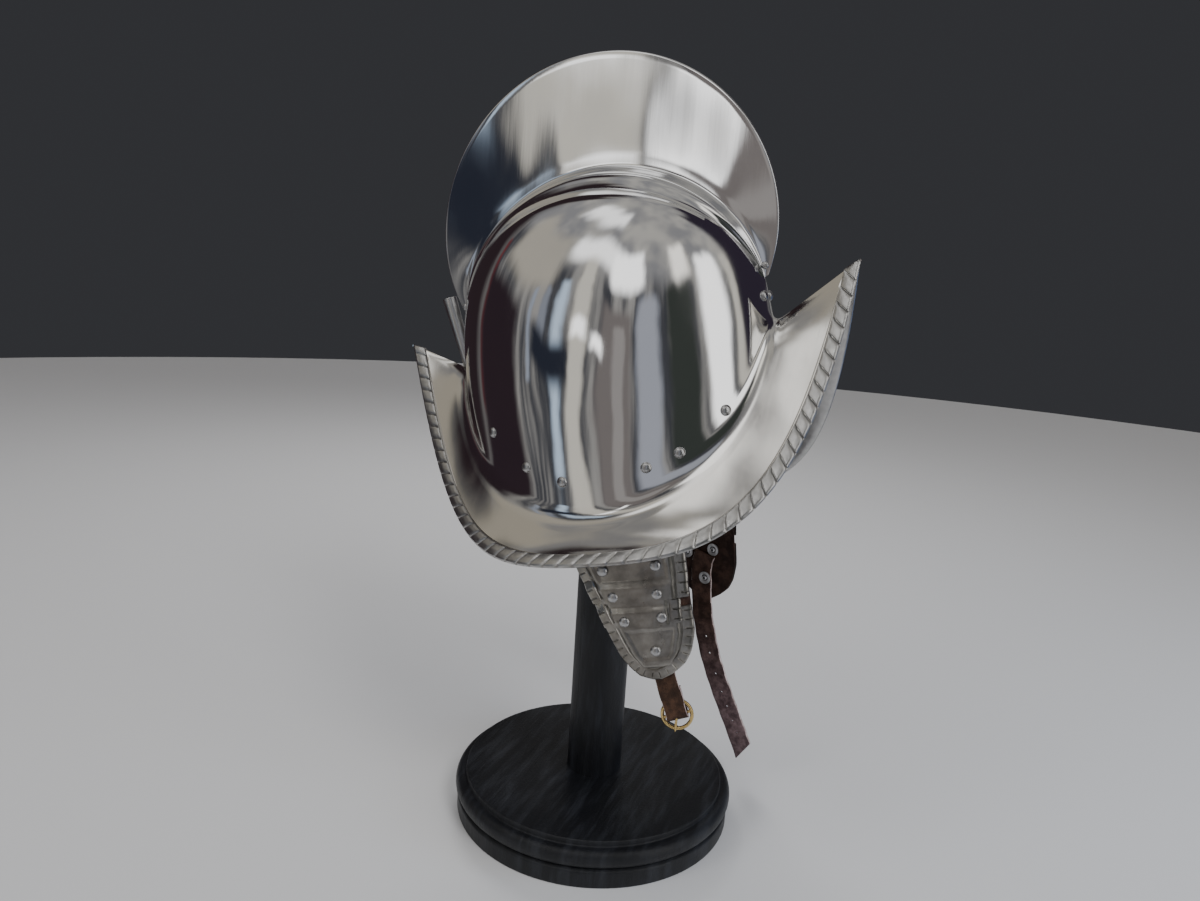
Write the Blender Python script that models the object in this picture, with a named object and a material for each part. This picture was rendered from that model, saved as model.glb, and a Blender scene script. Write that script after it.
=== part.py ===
"""A morion helmet with a high comb and a peaked brim, on its turned display stand.

Metres, +Z up. The origin is the centre of the stand's underside. The helmet faces -Y, and the wearer's
right is -X. Inside the helmet's own frame X is the side, -Y the front and Z the height above the low side
edges of the brim.
"""

import math

import bmesh
import bpy
from mathutils import Matrix, Vector
from mathutils.bvhtree import BVHTree

# Clearances
GAP = 0.0003
LEATHER_GAP = 0.0007
HOLE_CLEARANCE = 0.0003

# Stand
PLINTH_RADIUS = 0.1036
PLINTH_HEIGHT = 0.0120
COVE_RADIUS = 0.1000
BEAD_RADIUS = 0.1052
BEAD_BOTTOM = 0.0140
BEAD_TOP = 0.0270
DISC_RADIUS = 0.0974
BASE_HEIGHT = 0.0315
DISC_EDGE_ROUND = 0.0020
POST_RADIUS = 0.0205
POST_DOME = 0.0060
BEAD_STEPS = 5
STAND_SIDES = 28
POST_SIDES = 20

# Where the helmet sits and how far it leans back
HELMET_FORE = 0.0256
HELMET_HEIGHT = 0.2305
HELMET_LEAN = math.radians(12.5)

# Skull
WALL = 0.0015
SKULL_BACK = 0.0040
SKULL_HALF_LENGTH = 0.1130
SKULL_HALF_WIDTH = 0.0870
SKULL_CENTRE_HEIGHT = 0.1400
SKULL_RISE = 0.1040
SKULL_SWELL = 0.25
NECK_SIDE_HEIGHT = 0.0215
NECK_FRONT_HEIGHT = 0.1260
NECK_REAR_HEIGHT = 0.1220
NECK_ROUND_SHARE = 0.64
NECK_TIP_POWER = 10
NECK_FILLET = 0.0100

# Comb
COMB_BACK = 0.0020
COMB_HALF_LENGTH = 0.1218
COMB_CENTRE_HEIGHT = 0.2080
COMB_RISE = 0.1155
COMB_ROOT_HALF = 0.0050
COMB_RIM_HALF = 0.0015
COMB_FILLET = 0.0080
COMB_TAPER_HEIGHT = 0.0300
COMB_HOLLOW_SHARE = 0.60
COMB_SIDE_POWER = 0.7

# Brim and its rolled border
BRIM_HALF_LENGTH = 0.1680
BRIM_HALF_WIDTH = 0.1180
BRIM_FRONT_TIP_HEIGHT = 0.1590
BRIM_REAR_TIP_HEIGHT = 0.1490
BRIM_PLAN_POWER = 2.2
BRIM_RISE_POWER = 4.0
BRIM_SAG = 0.0015
BORDER_WIDTH = 0.0095
BORDER_LIP = 0.0013
BORDER_DEPTH = 0.0032
BORDER_STEP = 0.0008

# Grid of the bowl, each side of the medial plane, with the shares of the way that its rows stand at
BOWL_COLUMNS = 26
BRIM_SHARES = (0.25, 0.55)
NECK_FILLET_SHARES = (0.33, 0.67)
DOME_ROWS = 7
COMB_SHARES = (0.45, 0.75)
FIRST_DOME_ROW = len(BRIM_SHARES) + 1 + len(NECK_FILLET_SHARES)

# Rivets: head, shank and the washer that it is peened over
RIVET_HEAD_RADIUS = 0.0036
RIVET_HEAD_HEIGHT = 0.0022
RIVET_SHANK_RADIUS = 0.0016
WASHER_RADIUS = 0.0050
WASHER_THICKNESS = 0.0010
RIVET_PEEN = 0.0008
PLAIN_TAIL_RADIUS = 0.0026
RIVET_SIDES = 7
HOLE_LENGTH = 0.0240
RAY_START = 0.0150
RAY_NUDGE = 0.00001

# Places of the rivets round the skull: fore of the centre, and height above the neck line
BASE_RIVETS = (
    ("rear", -0.0710, 0.0370),
    ("rear_mid", -0.0440, 0.0280),
    ("cheek_rear", -0.0180, 0.0245),
    ("cheek_front", 0.0370, 0.0205),
    ("front_mid", 0.0570, 0.0160),
    ("front", 0.0840, 0.0130),
)
CHEEK_RIVETS_ON_SKULL = ("cheek_rear", "cheek_front")
COMB_RIVET_SHARE = 0.020
COMB_RIVET_HEAD_RADIUS = 0.0025
COMB_RIVET_SHANK_RADIUS = 0.0011
KEEL_RIVET_HEIGHT = 0.1450
KEEL_RIVET_SIDE = 0.0085

# Plume holder
HOLDER_TOP_RADIUS = 0.0053
HOLDER_FOOT_RADIUS = 0.0040
HOLDER_LENGTH = 0.0520
HOLDER_WALL = 0.0008
HOLDER_FOOT_HEIGHT = 0.1285
HOLDER_LEAN = math.radians(8.4)
HOLDER_SIDES = 16
HOLDER_LEVELS = 20
HOLDER_SEATINGS = 4

# Cheek pieces
CHEEK_FORE = 0.0175
CHEEK_WIDTH = 0.0725
CHEEK_LENGTH = 0.0850
CHEEK_SWING = {"right": 0.0, "left": math.radians(5.4)}
CHEEK_SWING_HEIGHT = 0.0250
LEATHER_THICKNESS = 0.0025
LEATHER_INSET = 0.0010
LAME_THICKNESS = 0.0012
CHEEK_COLUMNS = 5
CHEEK_STEP = 0.0050

# Outline of a cheek piece: depth below the brim's side edge as a share of CHEEK_LENGTH,
# then the rear and front edges from the centre line as shares of CHEEK_WIDTH
CHEEK_OUTLINE = (
    # depth, rear, front
    (-0.680, 0.610, 0.410),
    (-0.200, 0.550, 0.480),
    (0.000, 0.520, 0.480),
    (0.140, 0.476, 0.480),
    (0.400, 0.356, 0.476),
    (0.660, 0.250, 0.476),
    (0.810, 0.180, 0.430),
    (0.895, 0.110, 0.370),
    (0.965, 0.035, 0.260),
    (1.000, -0.080, 0.160),
)

# Lames: top and bottom depth as shares of CHEEK_LENGTH, and how far the front edge is set in
LAMES = (
    # name, top, bottom, front set-in
    ("upper", -0.200, 0.390, 0.0),
    ("middle", 0.290, 0.580, 0.0058),
    ("lower", 0.460, 1.000, 0.0),
)

# Rivets through the lames: depth as a share of CHEEK_LENGTH, then the distance before the centre line
# as a share of CHEEK_WIDTH
LAME_RIVETS = (
    # name, depth, fore, outermost lame
    ("upper_rear", 0.140, -0.235, "upper"),
    ("upper_front", 0.130, 0.225, "upper"),
    ("middle_rear", 0.342, -0.170, "upper"),
    ("middle_front", 0.342, 0.205, "upper"),
    ("lower_rear", 0.535, -0.100, "middle"),
    ("lower_front", 0.520, 0.220, "middle"),
    ("strap", 0.780, 0.130, "lower"),
)

# Straps and buckle
STRAP_THICKNESS = 0.0020
BUCKLE_STRAP_WIDTH = 0.0140
LONG_STRAP_WIDTH = 0.0175
STRAP_OVERLAP = 0.0110
BUCKLE_DROP = 0.0465
BUCKLE_FORE = 0.0070
BUCKLE_WIRE = 0.0012
BUCKLE_SIDE_GAP = 0.0006
BUCKLE_BAR_SHARE = 0.85
BUCKLE_SIDES = 20
BUCKLE_WIRE_SIDES = 6
PRONG_RADIUS = 0.0008
PRONG_SIDE = 0.0030
PRONG_STEPS = 6
SLOT_LENGTH = 0.0110
FOLD_STEPS = 6
STRAP_TAIL = 0.0170

# The fold of the strap round the buckle's bar, and the ring that clears its corners
FOLD_RADIUS = BUCKLE_WIRE + GAP + 0.5 * STRAP_THICKNESS
BUCKLE_RADIUS = BUCKLE_WIRE + math.hypot(
    0.5 * BUCKLE_STRAP_WIDTH + BUCKLE_SIDE_GAP, FOLD_RADIUS + 0.5 * STRAP_THICKNESS
)

# Route of the long strap below its rivet in the helmet's frame: fore, distance inward, and height
LONG_STRAP_ROUTE = (
    (0.0150, 0.0000, -0.0560),
    (0.0125, 0.0000, -0.0720),
    (0.0105, 0.0000, -0.0940),
    (0.0115, 0.0010, -0.1120),
    (0.0135, 0.0020, -0.1280),
    (0.0170, 0.0025, -0.1450),
    (0.0205, 0.0020, -0.1610),
    (0.0245, 0.0005, -0.1790),
    (0.0275, -0.0020, -0.1960),
    (0.0290, -0.0060, -0.2130),
)
LONG_STRAP_HOLES = (0.355, 0.450, 0.560, 0.665, 0.740, 0.820, 0.890)
LONG_STRAP_END_SLANT = -0.0150
LONG_STRAP_ROWS = 18


def clear_scene():
    for obj in list(bpy.data.objects):
        bpy.data.objects.remove(obj, do_unlink=True)


def material(name, colour, roughness, metallic):
    made = bpy.data.materials.new(name)
    made.use_nodes = True
    shader = made.node_tree.nodes["Principled BSDF"]
    shader.inputs["Base Color"].default_value = (*colour, 1.0)
    shader.inputs["Roughness"].default_value = roughness
    shader.inputs["Metallic"].default_value = metallic
    return made


def add_object(name, bm, finish, parent=None, smooth_angle=40.0):
    """Makes an object of the bmesh, with its faces pointing out, and frees the bmesh."""
    bmesh.ops.recalc_face_normals(bm, faces=bm.faces[:])
    mesh = bpy.data.meshes.new(name)
    bm.to_mesh(mesh)
    bm.free()
    mesh.shade_smooth()
    mesh.set_sharp_from_angle(angle=math.radians(smooth_angle))
    obj = bpy.data.objects.new(name, mesh)
    obj.data.materials.append(finish)
    bpy.context.collection.objects.link(obj)
    obj.parent = parent
    return obj


def add_cutter(name, bm, target, parent=None):
    """Cuts the bmesh's shape out of the target, and leaves the cutter out of the model."""
    bmesh.ops.recalc_face_normals(bm, faces=bm.faces[:])
    mesh = bpy.data.meshes.new(name)
    bm.to_mesh(mesh)
    bm.free()
    obj = bpy.data.objects.new(name, mesh)
    bpy.context.collection.objects.link(obj)
    obj.parent = parent
    obj.hide_render = True
    obj.display_type = "WIRE"
    cut = target.modifiers.new(name, "BOOLEAN")
    cut.operation = "DIFFERENCE"
    cut.object = obj
    return obj


def turned(bm, profile, sides, matrix=None):
    """Turns a profile of (radius, height) about Z. Both of its ends lie on the axis."""
    ends = [bm.verts.new((radius, 0.0, height)) for radius, height in profile]
    edges = [bm.edges.new(pair) for pair in zip(ends, ends[1:])]
    bmesh.ops.spin(
        bm,
        geom=ends + edges,
        cent=(0.0, 0.0, 0.0),
        axis=(0.0, 0.0, 1.0),
        steps=sides,
        angle=math.tau,
        use_merge=True,
        use_duplicate=False,
    )
    bmesh.ops.remove_doubles(bm, verts=bm.verts[:], dist=1e-6)
    if matrix is not None:
        bmesh.ops.transform(bm, matrix=matrix, verts=bm.verts[:])


def along(axis, point):
    """The matrix that stands Z along the axis at the point."""
    turn = Vector((0.0, 0.0, 1.0)).rotation_difference(axis)
    return Matrix.Translation(point) @ turn.to_matrix().to_4x4()


def lerp(first, last, share):
    return first + (last - first) * share


def skin(bm, rows):
    """Joins rows of points by faces. Points that coincide share one vertex, and slivers are left out."""
    verts = {}

    def vert_at(point):
        key = tuple(round(value, 7) for value in point)
        if key not in verts:
            verts[key] = bm.verts.new(point)
        return verts[key]

    grid = [[vert_at(point) for point in row] for row in rows]
    for low, high in zip(grid, grid[1:]):
        for left in range(len(low) - 1):
            ring = []
            for vert in (low[left], low[left + 1], high[left + 1], high[left]):
                if vert not in ring:
                    ring.append(vert)
            if len(ring) > 2:
                bm.faces.new(ring)


# Skull, comb and brim, as functions of a share from 0 at the front to 1 at the rear

def skull_outline(angle):
    """The skull's outline in the medial plane, as (fore, height)."""
    fore = SKULL_HALF_LENGTH * math.cos(angle) - SKULL_BACK
    return fore, SKULL_CENTRE_HEIGHT + SKULL_RISE * math.sin(angle)


def comb_outline(angle):
    fore = COMB_HALF_LENGTH * math.cos(angle) - COMB_BACK
    return fore, COMB_CENTRE_HEIGHT + COMB_RISE * math.sin(angle)


def outside_comb(angle):
    fore, height = skull_outline(angle)
    across = (fore + COMB_BACK) / COMB_HALF_LENGTH
    return across**2 + ((height - COMB_CENTRE_HEIGHT) / COMB_RISE) ** 2 - 1.0


def comb_end(start, towards):
    """The angle on the skull's outline where the comb's outline leaves it."""
    low, high = start, towards
    for _ in range(50):
        middle = 0.5 * (low + high)
        if outside_comb(middle) > 0.0:
            low = middle
        else:
            high = middle
    return 0.5 * (low + high)


def comb_angle(skull_angle):
    fore, height = skull_outline(skull_angle)
    angle = math.atan2((height - COMB_CENTRE_HEIGHT) / COMB_RISE, (fore + COMB_BACK) / COMB_HALF_LENGTH)
    return angle + math.tau if angle < -math.pi / 2 else angle


FRONT_END = comb_end(-math.pi / 4, math.pi / 2)
REAR_END = comb_end(1.25 * math.pi, math.pi / 2)
COMB_FRONT_ANGLE = comb_angle(FRONT_END)
COMB_REAR_ANGLE = comb_angle(REAR_END)


def neck_height_at(fore):
    """Height of the neck line at a place along the helmet."""
    across = min(1.0, abs(fore + SKULL_BACK) / SKULL_HALF_LENGTH)
    tip = NECK_FRONT_HEIGHT if fore > -SKULL_BACK else NECK_REAR_HEIGHT
    climb = NECK_ROUND_SHARE * across**2 + (1.0 - NECK_ROUND_SHARE) * across**NECK_TIP_POWER
    return lerp(NECK_SIDE_HEIGHT, tip, climb)


def neck_point(share):
    """The corner between skull and brim, before its fillet."""
    turn = math.pi * share
    side = SKULL_HALF_WIDTH * math.sin(turn) if 0.0 < share < 1.0 else 0.0
    fore = SKULL_HALF_LENGTH * math.cos(turn) - SKULL_BACK
    return Vector((side, -fore, neck_height_at(fore)))


def brim_edge(share):
    along_edge = 0.5 * math.cos(math.pi * share) + 0.5 * (1.0 - 2.0 * share)
    tip = BRIM_FRONT_TIP_HEIGHT if share < 0.5 else BRIM_REAR_TIP_HEIGHT
    side = BRIM_HALF_WIDTH * (1.0 - abs(along_edge) ** BRIM_PLAN_POWER)
    if share in (0.0, 1.0):
        side = 0.0
    return Vector((side, -BRIM_HALF_LENGTH * along_edge, tip * abs(along_edge) ** BRIM_RISE_POWER))


def mirrored(point):
    return Vector((-point.x, point.y, point.z))


def border_rows(columns):
    """The rolled border's section at each column, from the brim's upper face round to its lower face."""
    section = (
        (-BORDER_WIDTH, 0.0),
        (-BORDER_WIDTH + BORDER_STEP, 0.7 * BORDER_LIP),
        (-0.5 * BORDER_WIDTH, BORDER_LIP),
        (-BORDER_LIP, 0.5 * BORDER_LIP),
        (0.0, -0.3 * BORDER_DEPTH),
        (-BORDER_LIP, -0.8 * BORDER_DEPTH),
        (-0.5 * BORDER_WIDTH, -BORDER_DEPTH),
        (-BORDER_WIDTH + BORDER_STEP, -0.9 * BORDER_DEPTH),
        (-BORDER_WIDTH, -WALL),
    )
    edge = [brim_edge(column / columns) for column in range(columns + 1)]
    neck = [neck_point(column / columns) for column in range(columns + 1)]
    ring = [mirrored(edge[1]), *edge, mirrored(edge[-2])]
    rows = [[] for _ in section]
    for column in range(columns + 1):
        tangent = (ring[column + 2] - ring[column]).normalized()
        out = edge[column] - neck[column]
        out = (out - out.dot(tangent) * tangent).normalized()
        up = tangent.cross(out)
        if up.z < 0.0:
            up = -up
        for row, (across, lift) in zip(rows, section):
            row.append(edge[column] + across * out + lift * up)
    return rows


def dome_point(neck, top, side, turn):
    """A point of the skull's section: neck below, top at the medial plane, turn from 0 to a right angle."""
    rise = math.sin(turn)
    width = side * math.cos(turn) * (1.0 + SKULL_SWELL * rise)
    return Vector((width, lerp(neck.y, top.y, rise), lerp(neck.z, top.z, rise)))


def comb_frame(share):
    """Top of the skull's section, top of the comb, and the direction between them."""
    skull_turn = lerp(FRONT_END, REAR_END, share)
    fore, height = skull_outline(skull_turn)
    foot = Vector((0.0, -fore, height))
    rim_fore, rim_height = comb_outline(lerp(COMB_FRONT_ANGLE, COMB_REAR_ANGLE, share))
    rim = Vector((0.0, -rim_fore, rim_height))
    out = Vector((0.0, -math.cos(skull_turn) / SKULL_HALF_LENGTH, math.sin(skull_turn) / SKULL_RISE))
    tall = rim - foot
    return foot, rim, (tall if tall.length > 1e-4 else out).normalized(), tall.length


def bowl_sections(columns):
    """Rows of points over the half bowl: hollow of the comb, inside, border, outside, rim of the comb."""
    border = border_rows(columns)
    outer = []
    hollow = []
    for column in range(columns + 1):
        share = column / columns
        neck = neck_point(share)
        foot, rim, up, tall = comb_frame(share)
        scale = min(1.0, tall / COMB_TAPER_HEIGHT, 0.5 * neck.x / (COMB_ROOT_HALF + COMB_FILLET))
        fillet = COMB_FILLET * scale
        blade = COMB_ROOT_HALF * scale
        root = blade + fillet
        on_brim = border[0][column]
        reach = (on_brim - neck).length
        brim = []
        for part in BRIM_SHARES:
            point = lerp(on_brim, neck, part)
            point.z -= 4.0 * BRIM_SAG * part * (1.0 - part) * (1.0 if 0 < column < columns else 0.0)
            brim.append(point)
        brim_arm = lerp(neck, on_brim, NECK_FILLET / reach)
        climb = (foot - neck).length
        first_turn = math.asin(min(0.4, NECK_FILLET / climb))
        last_turn = math.pi / 2
        for _ in range(6):
            if neck.x > 0.0:
                last_turn = math.acos(min(1.0, root / (neck.x * (1.0 + SKULL_SWELL * math.sin(last_turn)))))
        dome_arm = dome_point(neck, foot, neck.x, first_turn)
        section = [*brim, brim_arm]
        for part in NECK_FILLET_SHARES:
            section.append(
                (1.0 - part) ** 2 * brim_arm + 2.0 * part * (1.0 - part) * neck + part**2 * dome_arm
            )
        for row in range(DOME_ROWS):
            turn = lerp(first_turn, last_turn, row / (DOME_ROWS - 1))
            section.append(dome_point(neck, foot, neck.x, turn))
        base = section[-1].copy()
        base.x = 0.0
        for turn in (math.radians(45.0), math.radians(90.0)):
            rise = fillet * (1.0 - math.cos(turn))
            section.append(base + up * rise + Vector((blade + fillet * (1.0 - math.sin(turn)), 0.0, 0.0)))
        rim_half = COMB_RIM_HALF * scale
        left = (rim - base).length
        for part in COMB_SHARES:
            height = lerp(fillet, left, part)
            across = lerp(blade, rim_half, part**COMB_SIDE_POWER)
            section.append(base + up * height + Vector((across, 0.0, 0.0)))
        section.append(base + up * max(fillet, left - rim_half) + Vector((rim_half, 0.0, 0.0)))
        section.append(rim)
        outer.append(section)
        hollow.append([
            base + up * lerp(-2.0 * WALL, COMB_HOLLOW_SHARE * tall, scale),
            base + up * lerp(-1.6 * WALL, 1.3 * fillet, scale)
            + Vector((lerp(0.25 * root, blade - 0.6 * WALL, scale), 0.0, 0.0)),
            base + up * lerp(-1.3 * WALL, 0.3 * fillet, scale)
            + Vector((lerp(0.5 * root, blade + 0.2 * fillet, scale), 0.0, 0.0)),
        ])
    return outer, border, hollow


def inside_points(outer, columns, rows):
    """The points one wall thickness inside the outer face, row by row from the skull's top to the brim."""
    inner = []
    for row in rows:
        line = []
        for column in range(columns + 1):
            before = outer[column - 1][row] if column else mirrored(outer[1][row])
            after = outer[column + 1][row] if column < columns else mirrored(outer[columns - 1][row])
            across = after - before
            climb = outer[column][row + 1] - outer[column][row - 1 if row else 0]
            out = across.cross(climb).normalized()
            here = outer[column][row]
            from_centre = Vector((here.x, here.y, here.z - SKULL_CENTRE_HEIGHT))
            if (out.z if row < FIRST_DOME_ROW else out.dot(from_centre)) < 0.0:
                out = -out
            point = here - WALL * out
            point.x = max(point.x, 0.4 * here.x) if 0 < column < columns else 0.0
            line.append(point)
        inner.append(line)
    return inner


def bowl_mesh(columns):
    outer, border, hollow = bowl_sections(columns)
    inner = inside_points(outer, columns, range(FIRST_DOME_ROW + DOME_ROWS - 1, -1, -1))
    rows = [[hollow[column][level] for column in range(columns + 1)] for level in range(3)]
    rows += inner
    rows += reversed(border)
    rows += [[section[level] for section in outer] for level in range(len(outer[0]))]
    bm = bmesh.new()
    skin(bm, rows)
    bmesh.ops.mirror(
        bm,
        geom=bm.verts[:] + bm.edges[:] + bm.faces[:],
        matrix=Matrix.Identity(4),
        merge_dist=1e-6,
        axis="X",
    )
    return bm


def tree_of(obj):
    """A tree of the object's own mesh, before its modifiers, in its parent's frame."""
    bm = bmesh.new()
    bm.from_mesh(obj.data)
    tree = BVHTree.FromBMesh(bm)
    bm.free()
    return tree


# Rivets

def highest_under(tree, centre, axis, radius):
    """How high along the axis the surface rises under a disc of this radius, seen against the axis."""
    side = axis.orthogonal().normalized()
    other = axis.cross(side)
    levels = []
    for step in range(2 * RIVET_SIDES):
        turn = math.tau * step / (2 * RIVET_SIDES)
        ring = centre + radius * (math.cos(turn) * side + math.sin(turn) * other)
        hit = tree.ray_cast(ring + RAY_START * axis, -axis, 2.0 * RAY_START)[0]
        if hit is not None:
            levels.append((hit - centre).dot(axis))
    return max(levels)


def rivet_mesh(centre, axis, head_level, tail_level, washer_radius):
    """A rivet along the axis: a domed head above head_level, a washer and peened end below tail_level."""
    profile = [
        (0.0, head_level + RIVET_HEAD_HEIGHT),
        (0.70 * RIVET_HEAD_RADIUS, head_level + 0.70 * RIVET_HEAD_HEIGHT),
        (RIVET_HEAD_RADIUS, head_level),
        (RIVET_SHANK_RADIUS, head_level),
        (RIVET_SHANK_RADIUS, tail_level),
        (washer_radius, tail_level),
        (washer_radius, tail_level - WASHER_THICKNESS),
    ]
    if washer_radius > PLAIN_TAIL_RADIUS:
        profile.append((RIVET_SHANK_RADIUS, tail_level - WASHER_THICKNESS))
    profile.append((0.0, tail_level - WASHER_THICKNESS - RIVET_PEEN))
    bm = bmesh.new()
    turned(bm, profile, RIVET_SIDES, along(axis, centre))
    return bm


def hole_mesh(bm, centre, axis, length, shank=RIVET_SHANK_RADIUS):
    bmesh.ops.create_cone(
        bm,
        cap_ends=True,
        segments=RIVET_SIDES,
        radius1=shank + HOLE_CLEARANCE,
        radius2=shank + HOLE_CLEARANCE,
        depth=length,
        matrix=along(axis, centre),
    )


# Cheek pieces

def outline_at(depth):
    """Rear and front edge, fore of the centre line, read between the outline's rows."""
    last = CHEEK_OUTLINE[-1][0]
    for (top, rear_a, front_a), (low, rear_b, front_b) in zip(CHEEK_OUTLINE, CHEEK_OUTLINE[1:]):
        if depth <= low or low == last:
            share = (depth - top) / (low - top)
            return -CHEEK_WIDTH * lerp(rear_a, rear_b, share), CHEEK_WIDTH * lerp(front_a, front_b, share)


def inner_wall(tree, fore, height):
    """Half-width inside the skull at this place, and below the neck that of the neck."""
    level = max(height, neck_height_at(fore) + NECK_FILLET)
    return tree.ray_cast(Vector((0.0, -fore, level)), Vector((1.0, 0.0, 0.0)), SKULL_HALF_LENGTH)[0].x


def handed(side, point):
    return point if side == "left" else mirrored(point)


def cheek_point(tree, side, fore, depth, inward):
    """A point of a cheek piece: inward is its distance inside the outer face of the leather."""
    height = -CHEEK_LENGTH * depth
    swing = math.tan(CHEEK_SWING[side]) * max(0.0, CHEEK_SWING_HEIGHT - height)
    reach = inner_wall(tree, CHEEK_FORE + fore, height) - LEATHER_GAP - inward
    return handed(side, Vector((reach, swing - CHEEK_FORE - fore, height)))


def cheek_axes(tree, side, fore, depth):
    """The point on the leather's outer face, the directions towards the front and up, and the way out."""
    point = cheek_point(tree, side, fore, depth, 0.0)
    ahead = (cheek_point(tree, side, fore + CHEEK_STEP, depth, 0.0) - point).normalized()
    above = cheek_point(tree, side, fore, depth - CHEEK_STEP / CHEEK_LENGTH, 0.0) - point
    out = ahead.cross(above).normalized()
    if out.x * point.x < 0.0:
        out = -out
    up = out.cross(ahead)
    return point, ahead, up if up.z > 0.0 else -up, out


def plate_mesh(tree, side, levels, inset, front_set_in, thickness):
    """A curved plate between depth levels, each with the distance of its outer face from the leather's."""
    around = []
    for depth, lift in levels:
        rear, front = outline_at(depth)
        edges = (rear + inset, front - inset - front_set_in)
        fores = [lerp(*edges, column / CHEEK_COLUMNS) for column in range(CHEEK_COLUMNS + 1)]
        outer = [cheek_point(tree, side, fore, depth, -lift) for fore in fores]
        inner = [cheek_point(tree, side, fore, depth, thickness - lift) for fore in fores]
        around.append((outer, inner))
    bm = bmesh.new()
    skin(bm, [[*outer, *reversed(inner), outer[0]] for outer, inner in around])
    for outer, inner in (around[0], around[-1]):
        skin(bm, [outer, inner])
    bmesh.ops.remove_doubles(bm, verts=bm.verts[:], dist=1e-6)
    return bm


def lame_levels(place):
    """Depth levels of a lame, lifted where its lower part lies over the next lame."""
    _, top, bottom, _ = LAMES[place]
    flat = LAME_THICKNESS + GAP
    lifts = {top: flat, bottom: flat}
    if place:
        lifts[LAMES[place - 1][2]] = flat
    if place + 1 < len(LAMES):
        lifts[LAMES[place + 1][1]] = 2.0 * flat
        lifts[bottom] = 2.0 * flat
    else:
        lifts.update({depth: flat for depth, _, _ in CHEEK_OUTLINE if top < depth < bottom})
    return sorted(lifts.items())


def build_cheek(side, frame, inside, finishes):
    """Leather backing, three lames and their rivets on one side. Returns the leather object."""
    steel, leather_finish, rivet_steel = finishes
    levels = [(row[0], 0.0) for row in CHEEK_OUTLINE]
    leather_bm = plate_mesh(inside, side, levels, LEATHER_INSET, 0.0, LEATHER_THICKNESS)
    leather = add_object(f"cheek_leather_{side}", leather_bm, leather_finish, frame)
    leather_tree = tree_of(leather)
    plates = {}
    for place, (name, _, _, set_in) in enumerate(LAMES):
        lame_bm = plate_mesh(inside, side, lame_levels(place), 0.0, set_in, LAME_THICKNESS)
        plates[name] = add_object(f"cheek_lame_{name}_{side}", lame_bm, steel, frame)
    holes = bmesh.new()
    for name, depth, fore, outermost in LAME_RIVETS:
        point, _, _, out = cheek_axes(inside, side, CHEEK_WIDTH * fore, depth)
        head = highest_under(tree_of(plates[outermost]), point, out, RIVET_HEAD_RADIUS) + GAP
        tail = -highest_under(leather_tree, point, -out, WASHER_RADIUS) - GAP
        if name == "strap":
            tail -= strap_seat(leather_tree, point, out, side) + STRAP_THICKNESS + GAP
        rivet_bm = rivet_mesh(point, out, head, tail, WASHER_RADIUS)
        add_object(f"cheek_rivet_{name}_{side}", rivet_bm, rivet_steel, frame)
        hole_mesh(holes, point, out, HOLE_LENGTH)
    for piece in (leather, *plates.values()):
        add_cutter(f"holes_{piece.name}", holes.copy(), piece, frame)
    holes.free()
    return leather


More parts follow.
